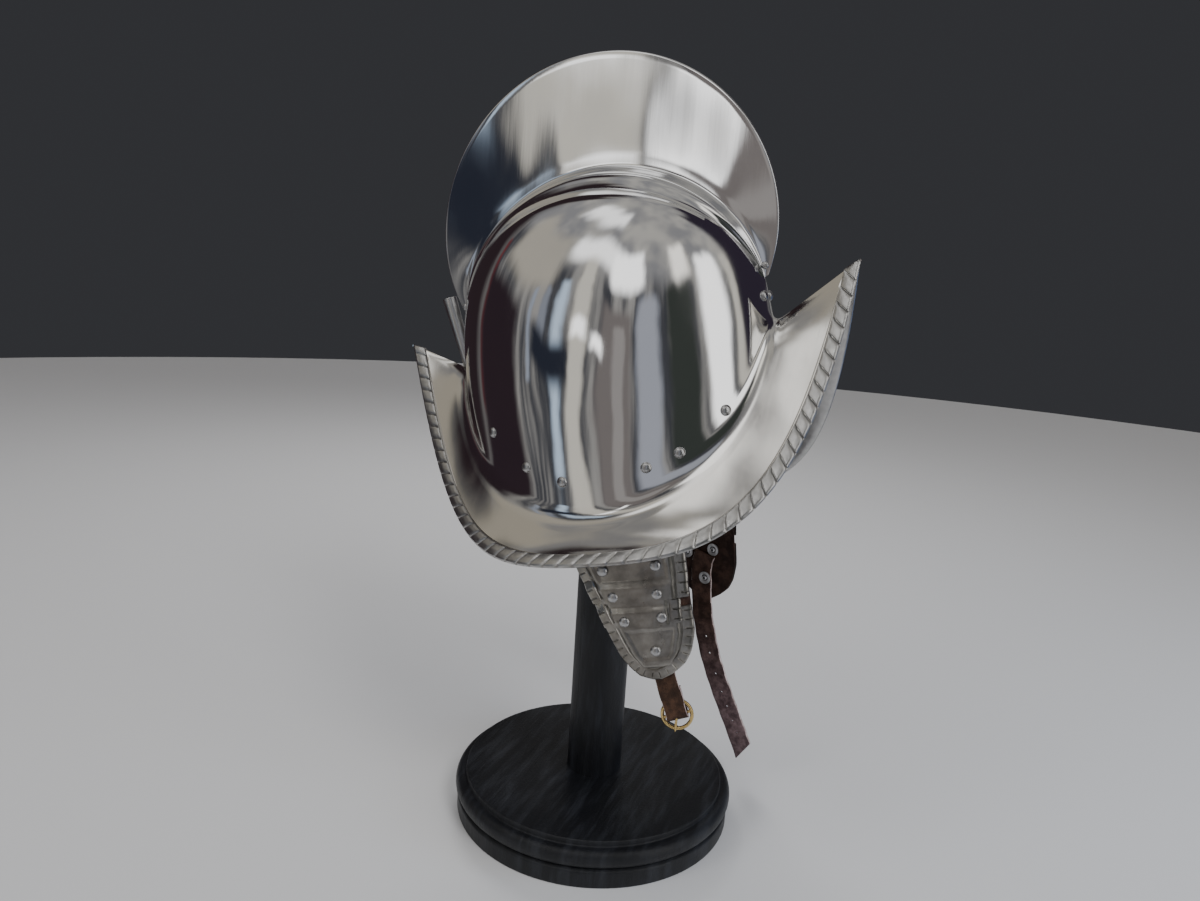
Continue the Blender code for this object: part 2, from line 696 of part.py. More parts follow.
def build_skull_rivets(frame, bowl, leathers, finish):
    """Rivets round the base of the skull. Two on each side also hold the leather of the cheek piece."""
    tree = tree_of(bowl)
    bowl_holes = bmesh.new()
    for side, leather in leathers.items():
        sign = 1.0 if side == "left" else -1.0
        leather_tree = tree_of(leather)
        leather_holes = bmesh.new()
        for name, fore, rise in BASE_RIVETS:
            start = Vector((sign * BRIM_HALF_WIDTH, -fore, neck_height_at(fore) + rise))
            point, out, _, _ = tree.ray_cast(start, Vector((-sign, 0.0, 0.0)), BRIM_HALF_WIDTH)
            head = highest_under(tree, point, out, RIVET_HEAD_RADIUS) + GAP
            held = name in CHEEK_RIVETS_ON_SKULL
            radius = WASHER_RADIUS if held else PLAIN_TAIL_RADIUS
            tail = -highest_under(leather_tree if held else tree, point, -out, radius) - GAP
            rivet_bm = rivet_mesh(point, out, head, tail, radius)
            add_object(f"skull_rivet_{name}_{side}", rivet_bm, finish, frame)
            hole_mesh(bowl_holes, point, out, HOLE_LENGTH)
            if held:
                hole_mesh(leather_holes, point, out, HOLE_LENGTH)
        add_cutter(f"skull_holes_{side}", leather_holes, leather, frame)
        start = Vector((sign * KEEL_RIVET_SIDE, -BRIM_HALF_LENGTH, KEEL_RIVET_HEIGHT))
        point, out, _, _ = tree.ray_cast(start, Vector((0.0, 1.0, 0.0)), BRIM_HALF_LENGTH)
        head = highest_under(tree, point, out, RIVET_HEAD_RADIUS) + GAP
        tail = -highest_under(tree, point, -out, PLAIN_TAIL_RADIUS) - GAP
        rivet_bm = rivet_mesh(point, out, head, tail, PLAIN_TAIL_RADIUS)
        add_object(f"keel_rivet_{side}", rivet_bm, finish, frame)
        hole_mesh(bowl_holes, point, out, HOLE_LENGTH)
    across = Vector((1.0, 0.0, 0.0))
    for end, share in (("front", COMB_RIVET_SHARE), ("rear", 1.0 - COMB_RIVET_SHARE)):
        foot, rim, _, _ = comb_frame(share)
        point = lerp(foot, rim, 0.5)
        head = highest_under(tree, point, across, COMB_RIVET_HEAD_RADIUS) + GAP
        bm = bmesh.new()
        domes = [
            (0.0, head + RIVET_HEAD_HEIGHT),
            (0.70 * COMB_RIVET_HEAD_RADIUS, head + 0.70 * RIVET_HEAD_HEIGHT),
            (COMB_RIVET_HEAD_RADIUS, head),
            (COMB_RIVET_SHANK_RADIUS, head),
        ]
        domes += [(radius, -level) for radius, level in reversed(domes)]
        turned(bm, domes, RIVET_SIDES, along(across, point))
        add_object(f"comb_rivet_{end}", bm, finish, frame)
        hole_mesh(bowl_holes, point, across, HOLE_LENGTH, COMB_RIVET_SHANK_RADIUS)
    add_cutter("skull_holes", bowl_holes, bowl, frame)


def build_plume_holder(frame, bowl, finish):
    """A tapered tube that stands behind the rear end of the comb, open at its top."""
    slope = (HOLDER_TOP_RADIUS - HOLDER_FOOT_RADIUS) / HOLDER_LENGTH
    floor = 3.0 * HOLDER_WALL
    bm = bmesh.new()
    turned(
        bm,
        [
            (0.0, 0.0),
            (HOLDER_FOOT_RADIUS, 0.0),
            (HOLDER_TOP_RADIUS, HOLDER_LENGTH),
            (HOLDER_TOP_RADIUS - HOLDER_WALL, HOLDER_LENGTH),
            (HOLDER_FOOT_RADIUS + slope * floor - HOLDER_WALL, floor),
            (0.0, floor),
        ],
        HOLDER_SIDES,
    )
    axis = Vector((0.0, math.sin(HOLDER_LEAN), math.cos(HOLDER_LEAN)))
    foot = Vector((0.0, SKULL_HALF_LENGTH + SKULL_BACK + 2.0 * HOLDER_TOP_RADIUS, HOLDER_FOOT_HEIGHT))
    tree = tree_of(bowl)
    ahead = Vector((0.0, -1.0, 0.0))
    for _ in range(HOLDER_SEATINGS):
        clear = []
        for step in range(HOLDER_LEVELS + 1):
            level = HOLDER_LENGTH * step / HOLDER_LEVELS
            radius = HOLDER_FOOT_RADIUS + slope * level
            middle = foot + level * axis
            front = middle.y - radius / math.cos(HOLDER_LEAN)
            for side in (-0.5 * radius, RAY_NUDGE, 0.5 * radius):
                hit = tree.ray_cast(middle + Vector((side, 0.0, 0.0)), ahead, BRIM_HALF_LENGTH)[0]
                if hit is not None:
                    clear.append(front - hit.y)
        foot.y -= min(clear) - GAP
        foot += (highest_under(tree, foot, axis, HOLDER_FOOT_RADIUS) + GAP) * axis
    bmesh.ops.transform(bm, matrix=along(axis, foot), verts=bm.verts[:])
    add_object("plume_holder", bm, finish, frame)


# Straps and buckle

def strap_mesh(path, widths, width, thickness, slant=0.0):
    """A flat strap along a path. Each point has its width direction, and slant skews the end."""
    rows = []
    for place, (point, across) in enumerate(zip(path, widths)):
        before = path[max(0, place - 1)]
        after = path[min(len(path) - 1, place + 1)]
        way = (after - before).normalized()
        normal = way.cross(across).normalized()
        last = place == len(path) - 1
        row = []
        for side, face in ((-1, -1), (1, -1), (1, 1), (-1, 1)):
            corner = point + 0.5 * (side * width * across + face * thickness * normal)
            if last:
                corner += 0.5 * side * slant * way
            row.append(corner)
        rows.append([*row, row[0]])
    bm = bmesh.new()
    skin(bm, rows)
    for end in (rows[0], rows[-1]):
        skin(bm, [[end[0], end[1]], [end[3], end[2]]])
    bmesh.ops.remove_doubles(bm, verts=bm.verts[:], dist=1e-6)
    return bm


def strap_seat(leather_tree, point, out, side):
    """How far the leather's inner face rises under a strap, from the level under its rivet's washer."""
    width = LONG_STRAP_WIDTH if side == "left" else BUCKLE_STRAP_WIDTH
    wide = highest_under(leather_tree, point, -out, 0.6 * width)
    return wide - highest_under(leather_tree, point, -out, WASHER_RADIUS) + LEATHER_GAP


def strap_start(inside, leather, side):
    """Where a strap meets its rivet: the point in the middle of its thickness, and its axes."""
    _, depth, fore, _ = LAME_RIVETS[-1]
    point, ahead, up, out = cheek_axes(inside, side, CHEEK_WIDTH * fore, depth)
    tree = tree_of(leather)
    face = highest_under(tree, point, -out, WASHER_RADIUS) + strap_seat(tree, point, out, side)
    return point - (face + 0.5 * STRAP_THICKNESS) * out, ahead, up, out


def build_buckle_strap(frame, inside, leather, leather_finish, brass):
    """A short strap folded round the middle bar of a round buckle, with the buckle's prong."""
    start, ahead, up, out = strap_start(inside, leather, "right")
    way = (BUCKLE_FORE * ahead - BUCKLE_DROP * up).normalized()
    across = way.cross(out).normalized()
    run = math.hypot(BUCKLE_FORE, BUCKLE_DROP)
    bar = start + run * way - FOLD_RADIUS * out
    path = [start - STRAP_OVERLAP * way, start, start + 0.5 * run * way]
    for step in range(FOLD_STEPS + 1):
        turn = math.pi * step / FOLD_STEPS
        path.append(bar + FOLD_RADIUS * (math.cos(turn) * out + math.sin(turn) * way))
    path.append(bar - FOLD_RADIUS * out - STRAP_TAIL * way)
    bm = strap_mesh(path, [across] * len(path), BUCKLE_STRAP_WIDTH, STRAP_THICKNESS)
    strap = add_object("buckle_strap", bm, leather_finish, frame)
    axes = Matrix((across, way, out)).transposed().to_4x4()
    axes.translation = bar
    slot = bmesh.new()
    size = Vector((2.0 * (PRONG_RADIUS + HOLE_CLEARANCE) + GAP, SLOT_LENGTH, 4.0 * FOLD_RADIUS))
    bmesh.ops.create_cube(slot, size=1.0, matrix=axes @ Matrix.Diagonal(size).to_4x4())
    add_cutter("prong_slot", slot, strap, frame)
    rivet_hole = bmesh.new()
    hole_mesh(rivet_hole, start, out, 2.0 * STRAP_THICKNESS)
    add_cutter("buckle_strap_hole", rivet_hole, strap, frame)

    ring = bmesh.new()
    section = [
        ring.verts.new((BUCKLE_RADIUS + BUCKLE_WIRE * math.cos(turn), 0.0, BUCKLE_WIRE * math.sin(turn)))
        for turn in (math.tau * step / BUCKLE_WIRE_SIDES for step in range(BUCKLE_WIRE_SIDES))
    ]
    edges = [ring.edges.new((section[step - 1], section[step])) for step in range(BUCKLE_WIRE_SIDES)]
    bmesh.ops.spin(
        ring,
        geom=section + edges,
        axis=(0.0, 0.0, 1.0),
        cent=(0.0, 0.0, 0.0),
        steps=BUCKLE_SIDES,
        angle=math.tau,
        use_merge=True,
    )
    bmesh.ops.remove_doubles(ring, verts=ring.verts[:], dist=1e-6)
    bmesh.ops.transform(ring, matrix=axes, verts=ring.verts[:])
    buckle = add_object("buckle_ring", ring, brass, frame)
    bar_bm = bmesh.new()
    bmesh.ops.create_cone(
        bar_bm,
        cap_ends=True,
        segments=BUCKLE_WIRE_SIDES,
        radius1=BUCKLE_BAR_SHARE * BUCKLE_WIRE,
        radius2=BUCKLE_BAR_SHARE * BUCKLE_WIRE,
        depth=2.0 * BUCKLE_RADIUS,
        matrix=axes @ Matrix.Rotation(math.pi / 2, 4, "Y"),
    )
    bar_obj = add_cutter("buckle_bar", bar_bm, buckle, frame)
    buckle.modifiers["buckle_bar"].operation = "UNION"
    bar_obj.name = "buckle_bar_join"

    eye = BUCKLE_WIRE + GAP + PRONG_RADIUS
    route = []
    for step in range(PRONG_STEPS + 1):
        turn = math.radians(lerp(-200.0, 0.0, step / PRONG_STEPS))
        route.append((0.0, eye * math.sin(turn), eye * math.cos(turn)))
    route.append((0.0, eye + PRONG_RADIUS, eye))
    route.append((PRONG_SIDE, BUCKLE_RADIUS + BUCKLE_WIRE, eye))
    curve = bpy.data.curves.new("buckle_prong", "CURVE")
    curve.dimensions = "3D"
    curve.bevel_depth = PRONG_RADIUS
    curve.bevel_resolution = 1
    curve.use_fill_caps = True
    spline = curve.splines.new("POLY")
    spline.points.add(len(route) - 1)
    for point, place in zip(spline.points, route):
        point.co = (*(axes @ Vector(place)), 1.0)
    prong = bpy.data.objects.new("buckle_prong", curve)
    curve.materials.append(brass)
    bpy.context.collection.objects.link(prong)
    prong.parent = frame


def smooth_route(points, rows):
    """Points along a smooth curve through the given ones."""
    padded = [2.0 * points[0] - points[1], *points, 2.0 * points[-1] - points[-2]]
    route = []
    for row in range(rows + 1):
        share = (len(points) - 1) * row / rows
        place = min(int(share), len(points) - 2)
        part = share - place
        before, first, last, after = padded[place:place + 4]
        route.append(0.5 * (
            2.0 * first
            + (last - before) * part
            + (2.0 * before - 5.0 * first + 4.0 * last - after) * part**2
            + (3.0 * first - before - 3.0 * last + after) * part**3
        ))
    return route


def build_long_strap(frame, inside, leather, finish):
    start, ahead, up, out = strap_start(inside, leather, "left")
    origin_fore = -start.y
    chosen = [
        start + (fore - origin_fore) * ahead + (height - start.z) * up - inward * out
        for fore, inward, height in LONG_STRAP_ROUTE
    ]
    route = smooth_route(chosen, LONG_STRAP_ROWS)
    widths = []
    for place in range(len(route)):
        way = route[min(len(route) - 1, place + 1)] - route[max(0, place - 1)]
        widths.append(way.cross(out).normalized())
    bm = strap_mesh(route, widths, LONG_STRAP_WIDTH, STRAP_THICKNESS, LONG_STRAP_END_SLANT)
    strap = add_object("long_strap", bm, finish, frame)
    holes = bmesh.new()
    hole_mesh(holes, start, out, 3.0 * STRAP_THICKNESS)
    for share in LONG_STRAP_HOLES:
        place = int(share * LONG_STRAP_ROWS)
        centre = lerp(route[place], route[place + 1], share * LONG_STRAP_ROWS - place)
        way = (route[place + 1] - route[place]).normalized()
        hole_mesh(holes, centre, way.cross(widths[place]).normalized(), 3.0 * STRAP_THICKNESS)
    add_cutter("long_strap_holes", holes, strap, frame)


# Stand

def build_stand(frame, bowl, finish):
    bead_middle = 0.5 * (BEAD_BOTTOM + BEAD_TOP)
    bead_half = 0.5 * (BEAD_TOP - BEAD_BOTTOM)
    profile = [(0.0, 0.0), (PLINTH_RADIUS, 0.0), (PLINTH_RADIUS, PLINTH_HEIGHT), (COVE_RADIUS, BEAD_BOTTOM)]
    for step in range(1, BEAD_STEPS):
        turn = math.pi * (step / BEAD_STEPS - 0.5)
        swell = BEAD_RADIUS - COVE_RADIUS
        profile.append((COVE_RADIUS + swell * math.cos(turn), bead_middle + bead_half * math.sin(turn)))
    profile += [
        (COVE_RADIUS, BEAD_TOP),
        (DISC_RADIUS, BEAD_TOP),
        (DISC_RADIUS, BASE_HEIGHT - DISC_EDGE_ROUND),
        (DISC_RADIUS - DISC_EDGE_ROUND, BASE_HEIGHT),
        (0.0, BASE_HEIGHT),
    ]
    base = bmesh.new()
    turned(base, profile, STAND_SIDES)
    add_object("stand_base", base, finish)

    bowl_bm = bmesh.new()
    bowl_bm.from_mesh(bowl.data)
    place = Matrix.Translation(frame.location) @ frame.rotation_euler.to_matrix().to_4x4()
    bowl_bm.transform(place)
    tree = BVHTree.FromBMesh(bowl_bm)
    bowl_bm.free()
    foot = BASE_HEIGHT + GAP
    clear = []
    for step in range(STAND_SIDES):
        turn = math.tau * step / STAND_SIDES
        for share in (0.0, 0.5, 1.0):
            drop = POST_DOME * share**2
            reach = share * POST_RADIUS
            here = Vector((reach * math.cos(turn), reach * math.sin(turn), foot))
            hit = tree.ray_cast(here, Vector((0.0, 0.0, 1.0)), 1.0)[0]
            clear.append(hit.z + drop)
    top = min(clear) - GAP
    post = bmesh.new()
    shape = [(0.0, foot), (POST_RADIUS, foot)]
    shape += [(POST_RADIUS * share, top - POST_DOME * share**2) for share in (1.0, 0.5, 0.0)]
    turned(post, shape, POST_SIDES)
    add_object("stand_post", post, finish)


def main():
    clear_scene()
    polished = material("polished_steel", (0.62, 0.63, 0.65), 0.12, 1.0)
    dull = material("worked_steel", (0.45, 0.45, 0.46), 0.30, 1.0)
    rivet_steel = material("rivet_steel", (0.66, 0.67, 0.68), 0.22, 1.0)
    dark_leather = material("brown_leather", (0.075, 0.035, 0.022), 0.75, 0.0)
    brass = material("brass", (0.70, 0.50, 0.22), 0.28, 1.0)
    black_wood = material("black_painted_wood", (0.012, 0.013, 0.016), 0.45, 0.0)
    frame = bpy.data.objects.new("helmet_frame", None)
    bpy.context.collection.objects.link(frame)
    frame.location = (0.0, -HELMET_FORE, HELMET_HEIGHT)
    frame.rotation_euler = (-HELMET_LEAN, 0.0, 0.0)
    bowl = add_object("helmet_bowl", bowl_mesh(BOWL_COLUMNS), polished, frame)
    inside = tree_of(bowl)
    finishes = (dull, dark_leather, rivet_steel)
    leathers = {side: build_cheek(side, frame, inside, finishes) for side in CHEEK_SWING}
    build_plume_holder(frame, bowl, polished)
    build_stand(frame, bowl, black_wood)
    build_skull_rivets(frame, bowl, leathers, rivet_steel)
    build_buckle_strap(frame, inside, leathers["right"], dark_leather, brass)
    build_long_strap(frame, inside, leathers["left"], dark_leather)


main()
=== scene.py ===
"""A combed steel helmet with a peaked, roped brim, shown on its turned black stand."""

import math

import bmesh
import bpy
from mathutils import Matrix, Vector
from mathutils.bvhtree import BVHTree


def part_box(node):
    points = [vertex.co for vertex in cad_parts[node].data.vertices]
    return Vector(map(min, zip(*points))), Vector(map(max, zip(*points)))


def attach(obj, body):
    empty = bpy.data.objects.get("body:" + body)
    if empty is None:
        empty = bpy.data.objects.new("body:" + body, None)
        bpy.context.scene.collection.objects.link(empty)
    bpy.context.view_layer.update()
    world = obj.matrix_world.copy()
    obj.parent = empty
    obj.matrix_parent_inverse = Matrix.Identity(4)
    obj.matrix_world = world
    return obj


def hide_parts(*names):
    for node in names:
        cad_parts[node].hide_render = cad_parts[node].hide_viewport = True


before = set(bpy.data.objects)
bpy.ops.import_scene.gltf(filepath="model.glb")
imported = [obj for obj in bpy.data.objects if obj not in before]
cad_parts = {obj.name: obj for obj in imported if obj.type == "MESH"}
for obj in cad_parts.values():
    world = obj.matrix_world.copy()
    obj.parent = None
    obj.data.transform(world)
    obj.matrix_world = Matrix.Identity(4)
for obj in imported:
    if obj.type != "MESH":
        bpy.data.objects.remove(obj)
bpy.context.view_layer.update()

# The helmet's own frame: X to the wearer's left, -Y ahead, Z up from the brim's low side edges
HELMET = Matrix.Translation((0.0, -0.0256, 0.2305)) @ Matrix.Rotation(math.radians(-12.5), 4, "X")

WALL = 0.0015
SKULL_BACK, SKULL_LONG, SKULL_WIDE = 0.0040, 0.1130, 0.0870
SKULL_MIDDLE, SKULL_RISE, SKULL_SWELL = 0.1400, 0.1040, 0.25
NECK_SIDE, NECK_FRONT, NECK_REAR, NECK_ROUND, NECK_FILLET = 0.0215, 0.1260, 0.1220, 0.64, 0.0100
COMB_BACK, COMB_LONG, COMB_MIDDLE, COMB_RISE = 0.0020, 0.1218, 0.2080, 0.1155
COMB_ROOT, COMB_RIM, COMB_FILLET, COMB_TAPER, COMB_HOLLOW = 0.0050, 0.0015, 0.0080, 0.0300, 0.60
# Worked band at the comb's foot: on the skull a hollow and a roll, then a second roll in the corner
ROOT_BAND, ROOT_SHARE, HOLLOW_END, HOLLOW_DEEP, ROLL_HIGH = 0.0430, 0.50, 0.50, 0.0016, 0.0018
FOOT_STEP, FOOT_HIGH, FOOT_END = 0.0006, 0.0013, 0.80
BRIM_LONG, BRIM_WIDE, BRIM_FRONT_TIP, BRIM_REAR_TIP = 0.1680, 0.1180, 0.1590, 0.1490
BRIM_PLAN, BRIM_CLIMB, BRIM_SAG = 2.2, 4.0, 0.0015
# The sheet's edge lies hidden under the rope, and a line is cut beside the rope: way in and depth
SHEET_TUCK, SHEET_LIFT = 0.9, 0.0001
BORDER_LINE, BORDER_LINE_END = ((0.0, 0.0), (0.0046, 0.0), (0.0051, -0.0004), (0.0056, 0.0)), 0.0075
BOWL_COLUMNS, BRIM_ROWS, FILLET_ROWS, DOME_ROWS, ROOT_ROWS = 170, 18, 8, 26, 34
FOOT_ROWS, BLADE_ROWS, RIM_ROWS = 14, 17, 4

ROPE_WIDE, ROPE_DEEP, ROPE_TUCK, ROPE_FOOT = 0.0095, 0.0032, 0.0060, -0.00096
ROPE_PITCH, ROPE_CUT, ROPE_SLANT, EDGE_STEPS = 0.0108, 0.0012, 0.62, 3000
# Place along one turn of the rope, and depth there as a share of ROPE_CUT
ROPE_TURN = (
    (0.0, 1.0), (0.045, 0.97), (0.10, 0.55), (0.18, 0.25), (0.30, 0.08), (0.45, 0.0), (0.62, 0.0),
    (0.80, 0.0), (0.93, 0.0), (0.975, 0.06),
)
# Ways in from the edge as shares of ROPE_WIDE, above and below, and the upper face's heights
ROPE_TOP = (1.0, 0.975, 0.94, 0.88, 0.76, 0.62, 0.48, 0.34, 0.22, 0.14, 0.08, 0.035, 0.0)
ROPE_UNDER = (0.02, 0.07, 0.16, 0.32, 0.55, 0.78, 0.95, 1.0)
ROPE_CROWN = (
    (0.0, ROPE_FOOT), (0.035, -0.0002), (0.08, 0.00035), (0.14, 0.00075), (0.5, 0.0013), (0.88, 0.0011),
    (0.94, 0.0008), (0.975, 0.0002), (1.0, -0.0010),
)

CHEEK_FORE, CHEEK_WIDE, CHEEK_LONG = 0.0175, 0.0725, 0.0850
CHEEK_SWING = {"right": 0.0, "left": math.radians(5.4)}
CHEEK_SWING_HEIGHT, LEATHER_GAP, LEATHER_THICK, LEATHER_INSET = 0.0250, 0.0007, 0.0025, 0.001
CHEEK_OUTLINE = (
    # depth as a share of CHEEK_LONG, then rear and front edges as shares of CHEEK_WIDE
    (-0.680, 0.610, 0.410), (-0.200, 0.550, 0.480), (0.000, 0.520, 0.480), (0.140, 0.476, 0.480),
    (0.400, 0.356, 0.476), (0.660, 0.250, 0.476), (0.810, 0.180, 0.430), (0.895, 0.110, 0.370),
    (0.965, 0.035, 0.260), (1.000, -0.080, 0.160),
)
LAMES = (
    # name, top and bottom depth, front set-in, lift of the upper and the lower part
    ("upper", -0.200, 0.390, 0.0000, 0.0015, 0.0030),
    ("middle", 0.290, 0.580, 0.0058, 0.0015, 0.0030),
    ("lower", 0.460, 1.000, 0.0000, 0.0015, 0.0015),
)
LAME_THICK, LAME_INSET, LAME_LAP, LAME_STEP, LAME_ROWS, LAME_COLUMNS = 0.0012, 0.0002, 0.10, 0.06, 60, 68
LAME_BORDER, LAME_PITCH, LAME_CUT, LAME_RAISE, LAME_RIDGE = 0.0070, 0.0060, 0.0007, 0.0008, 0.0009
# Place along one notch of the border, and depth there as a share of LAME_CUT
LAME_NOTCH = (
    (0.0, 1.0), (0.055, 0.9), (0.11, 0.12), (0.2, 0.0), (0.45, 0.0), (0.75, 0.0), (0.93, 0.0), (0.965, 0.35),
)
LAME_WAYS_IN = (0.0, 0.05, 0.12, 0.35, 0.58, 0.70, 0.78, 0.92, 1.0)

RIVET_WIDE, RIVET_HIGH, RIVET_EDGE, SHANK_WIDE, COMB_RIVET_SHARE = 0.0036, 0.0022, 0.00045, 0.0016, 0.69
PEEN_WIDE, WASHER_LEAST, WASHER_FACE, WASHER_THICK, WASHER_BEVEL = 0.0026, 0.0042, 0.0008, 0.0010, 0.0002
# Radius and height above the rivet's end, over the washer's groove, the peened end and its pit
WASHER_MIDDLE = (
    (0.0032, 0.0009), (0.0026, 0.0013), (0.0020, 0.0013), (0.0018, 0.0004), (0.0013, 0.0),
    (0.0009, 0.0001), (0.0008, 0.0013), (0.0, 0.0014),
)
# Radii of the pit and of the washer's groove, whose faces get painted shade
PIT_WIDE, GROOVE_START, GROOVE_END = 0.0009, 0.0019, 0.0026

STRAP_THICK, STRAP_CORNER, STRAP_FRAY = 0.0020, 0.00045, 0.00018
LONG_STRAP_ROUTE = (
    (0.07785, -0.01900, -0.04700), (0.07824, -0.01511, -0.05600), (0.07848, -0.01260, -0.07200),
    (0.07847, -0.01054, -0.09399), (0.07688, -0.01119, -0.11197), (0.07509, -0.01281, -0.12794),
    (0.07342, -0.01601, -0.14493), (0.07274, -0.01944, -0.16093), (0.07287, -0.02359, -0.17896),
    (0.07422, -0.02700, -0.19601), (0.07739, -0.02931, -0.21310),
)
LONG_STRAP_OUT = Vector((0.97178, -0.23484, -0.0222))
LONG_STRAP_WIDE, LONG_STRAP_SLANT, LONG_STRAP_ROWS, ROWS_ABOVE_RIVET = 0.0175, -0.0150, 90, 9
LONG_STRAP_HOLES, HOLE_WIDE = (0.355, 0.450, 0.560, 0.665, 0.740, 0.820, 0.890), 0.0011
BUCKLE_START, BUCKLE_BAR = Vector((-0.07769, -0.02585, -0.06630)), Vector((-0.07361, -0.03207, -0.11280))
BUCKLE_WAY, BUCKLE_OUT = Vector((0.03497, -0.14470, -0.98886)), Vector((-0.97202, -0.23489, 0.0))
BUCKLE_STRAP_WIDE, BUCKLE_ABOVE, BUCKLE_FOLD, BUCKLE_TAIL = 0.0140, 0.011, 0.0025, 0.017
BUCKLE_RING, BUCKLE_WIRE, BAR_SHARE = 0.00957, 0.0012, 0.86
PRONG_THICK, PRONG_GAP, PRONG_LEAN = 0.0008, 0.0003, 0.0045

HOLDER_FOOT, HOLDER_AXIS = Vector((0.0, 0.12192, 0.12728)), Vector((0.0, 0.14608, 0.98927))
HOLDER_TOP_WIDE, HOLDER_FOOT_WIDE, HOLDER_LONG, HOLDER_WALL = 0.0053, 0.0040, 0.0520, 0.0008

BASE_FOOT_WIDE, BASE_FOOT_HIGH, BASE_TOP_WIDE, BASE_HIGH, BASE_CORNER = 0.1036, 0.0120, 0.0974, 0.0315, 0.0014
BASE_ROLL_WIDE, BASE_ROLL_OUT, BASE_ROLL_LOW, BASE_ROLL_TOP = 0.1000, 0.0052, 0.0140, 0.0270
POST_WIDE, POST_ROUND = 0.0205, 0.0060


# Shop tools

def lerp(first, last, share):
    return first + (last - first) * share


def ease(low, high, value):
    share = min(1.0, max(0.0, (value - low) / (high - low)))
    return share * share * (3.0 - 2.0 * share)


def bend(start, corner, end, part):
    """A point on the round of a corner."""
    return (1.0 - part) ** 2 * start + 2.0 * part * (1.0 - part) * corner + part**2 * end


def between_rows(table, place):
    """What a table of (place, values) says between its rows."""
    for one, two in zip(table, table[1:]):
        if place <= two[0]:
            break
    share = (min(max(place, one[0]), two[0]) - one[0]) / (two[0] - one[0])
    return [lerp(low, high, share) for low, high in zip(one[1:], two[1:])]


def running_lengths(points):
    lengths = [0.0]
    for before, after in zip(points, points[1:]):
        lengths.append(lengths[-1] + (after - before).length)
    return lengths


def step_at(lengths, length):
    """The step of a path that a length along it falls in, and the share of that step."""
    length = min(max(length, 0.0), lengths[-1])
    low, high = 0, len(lengths) - 1
    while high - low > 1:
        middle = (low + high) // 2
        low, high = (middle, high) if lengths[middle] <= length else (low, middle)
    return low, (length - lengths[low]) / (lengths[high] - lengths[low])


def ways_along(route):
    """The way on at each point of a route."""
    pairs = zip([route[0], *route], [*route[1:], route[-1]])
    return [(after - before).normalized() for before, after in pairs]


def laid_grid(rows, satin=None):
    """A grid of quads whose vertices are laid on rows of points, with each row's share of satin."""
    bm = bmesh.new()
    shares = bm.verts.layers.float.new("satin") if satin else None
    wide, high = len(rows[0]) - 1, len(rows) - 1
    bmesh.ops.create_grid(bm, x_segments=wide, y_segments=high, size=1.0)
    for vert in bm.verts:
        column = round(0.5 * (vert.co.x + 1.0) * wide)
        row = round(0.5 * (vert.co.y + 1.0) * high)
        vert.co = rows[row][column]
        if satin:
            vert[shares] = satin[row]
    return bm


def closed_up(bm, turn_out=True):
    bmesh.ops.remove_doubles(bm, verts=bm.verts[:], dist=2e-6)
    bmesh.ops.dissolve_degenerate(bm, edges=bm.edges[:], dist=1e-7)
    if turn_out:
        bmesh.ops.recalc_face_normals(bm, faces=bm.faces[:])


def made_whole(bm, merge):
    """Adds the mirror image of a left half, and joins the two."""
    closed_up(bm, turn_out=False)
    bmesh.ops.mirror(bm, geom=bm.verts[:] + bm.edges[:] + bm.faces[:], matrix=Matrix.Identity(4),
                     merge_dist=merge, axis="X")
    closed_up(bm)


def mesh_of(name, bm):
    mesh = bpy.data.meshes.new(name)
    bm.to_mesh(mesh)
    bm.free()
    return mesh


def placed(name, data):
    made = bpy.data.objects.new(name, data)
    bpy.context.scene.collection.objects.link(made)
    return made


def together(parts):
    """One mesh of several closed ones."""
    whole = bmesh.new()
    for part in parts:
        mesh = mesh_of("part", part)
        whole.from_mesh(mesh)
        bpy.data.meshes.remove(mesh)
    return whole


def turned(profile, sides, matrix=None):
    """A profile of (radius, height) turned about Z, then moved by the matrix."""
    bm = bmesh.new()
    verts = [bm.verts.new((radius, 0.0, height)) for radius, height in profile]
    edges = [bm.edges.new(pair) for pair in zip(verts, verts[1:])]
    bmesh.ops.spin(bm, geom=verts + edges, cent=(0, 0, 0), axis=(0, 0, 1), steps=sides, angle=math.tau,
                   use_merge=True)
    bmesh.ops.remove_doubles(bm, verts=bm.verts[:], dist=1e-6)
    if matrix is not None:
        bmesh.ops.transform(bm, matrix=matrix, verts=bm.verts[:])
    bmesh.ops.recalc_face_normals(bm, faces=bm.faces[:])
    return bm


def along(axis, point):
    return Matrix.Translation(point) @ Vector((0, 0, 1)).rotation_difference(axis).to_matrix().to_4x4()


def rounded(profile, radius):
    """The profile with its inner corners rounded."""
    points = [Vector(point) for point in profile]
    out = [points[0]]
    for before, corner, after in zip(points, points[1:], points[2:]):
        to_before, to_after = before - corner, after - corner
        cut = min(radius, 0.45 * to_before.length, 0.45 * to_after.length)
        start, end = corner + cut * to_before.normalized(), corner + cut * to_after.normalized()
        out += [bend(start, corner, end, step / 3) for step in range(4)]
    return [tuple(point) for point in [*out, points[-1]]]


def finished(name, bm, finishes, stands_for=(), smooth=35.0, place=HELMET):
    """Turns a bmesh into a piece of the helmet, with its place in its mesh."""
    if place is not None:
        bm.transform(place)
    mesh = mesh_of(name, bm)
    mesh.shade_smooth()
    mesh.set_sharp_from_angle(angle=math.radians(smooth))
    for finish in finishes:
        mesh.materials.append(finish)
    piece = placed(name, mesh)
    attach(piece, "root")
    if stands_for:
        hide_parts(*stands_for)
    return piece


# Finishes

def maths_of(operation, reflected=False):
    """An arithmetic operator of Wire."""
    return lambda self, other: self.bench.maths(operation, *((other, self) if reflected else (self, other)))


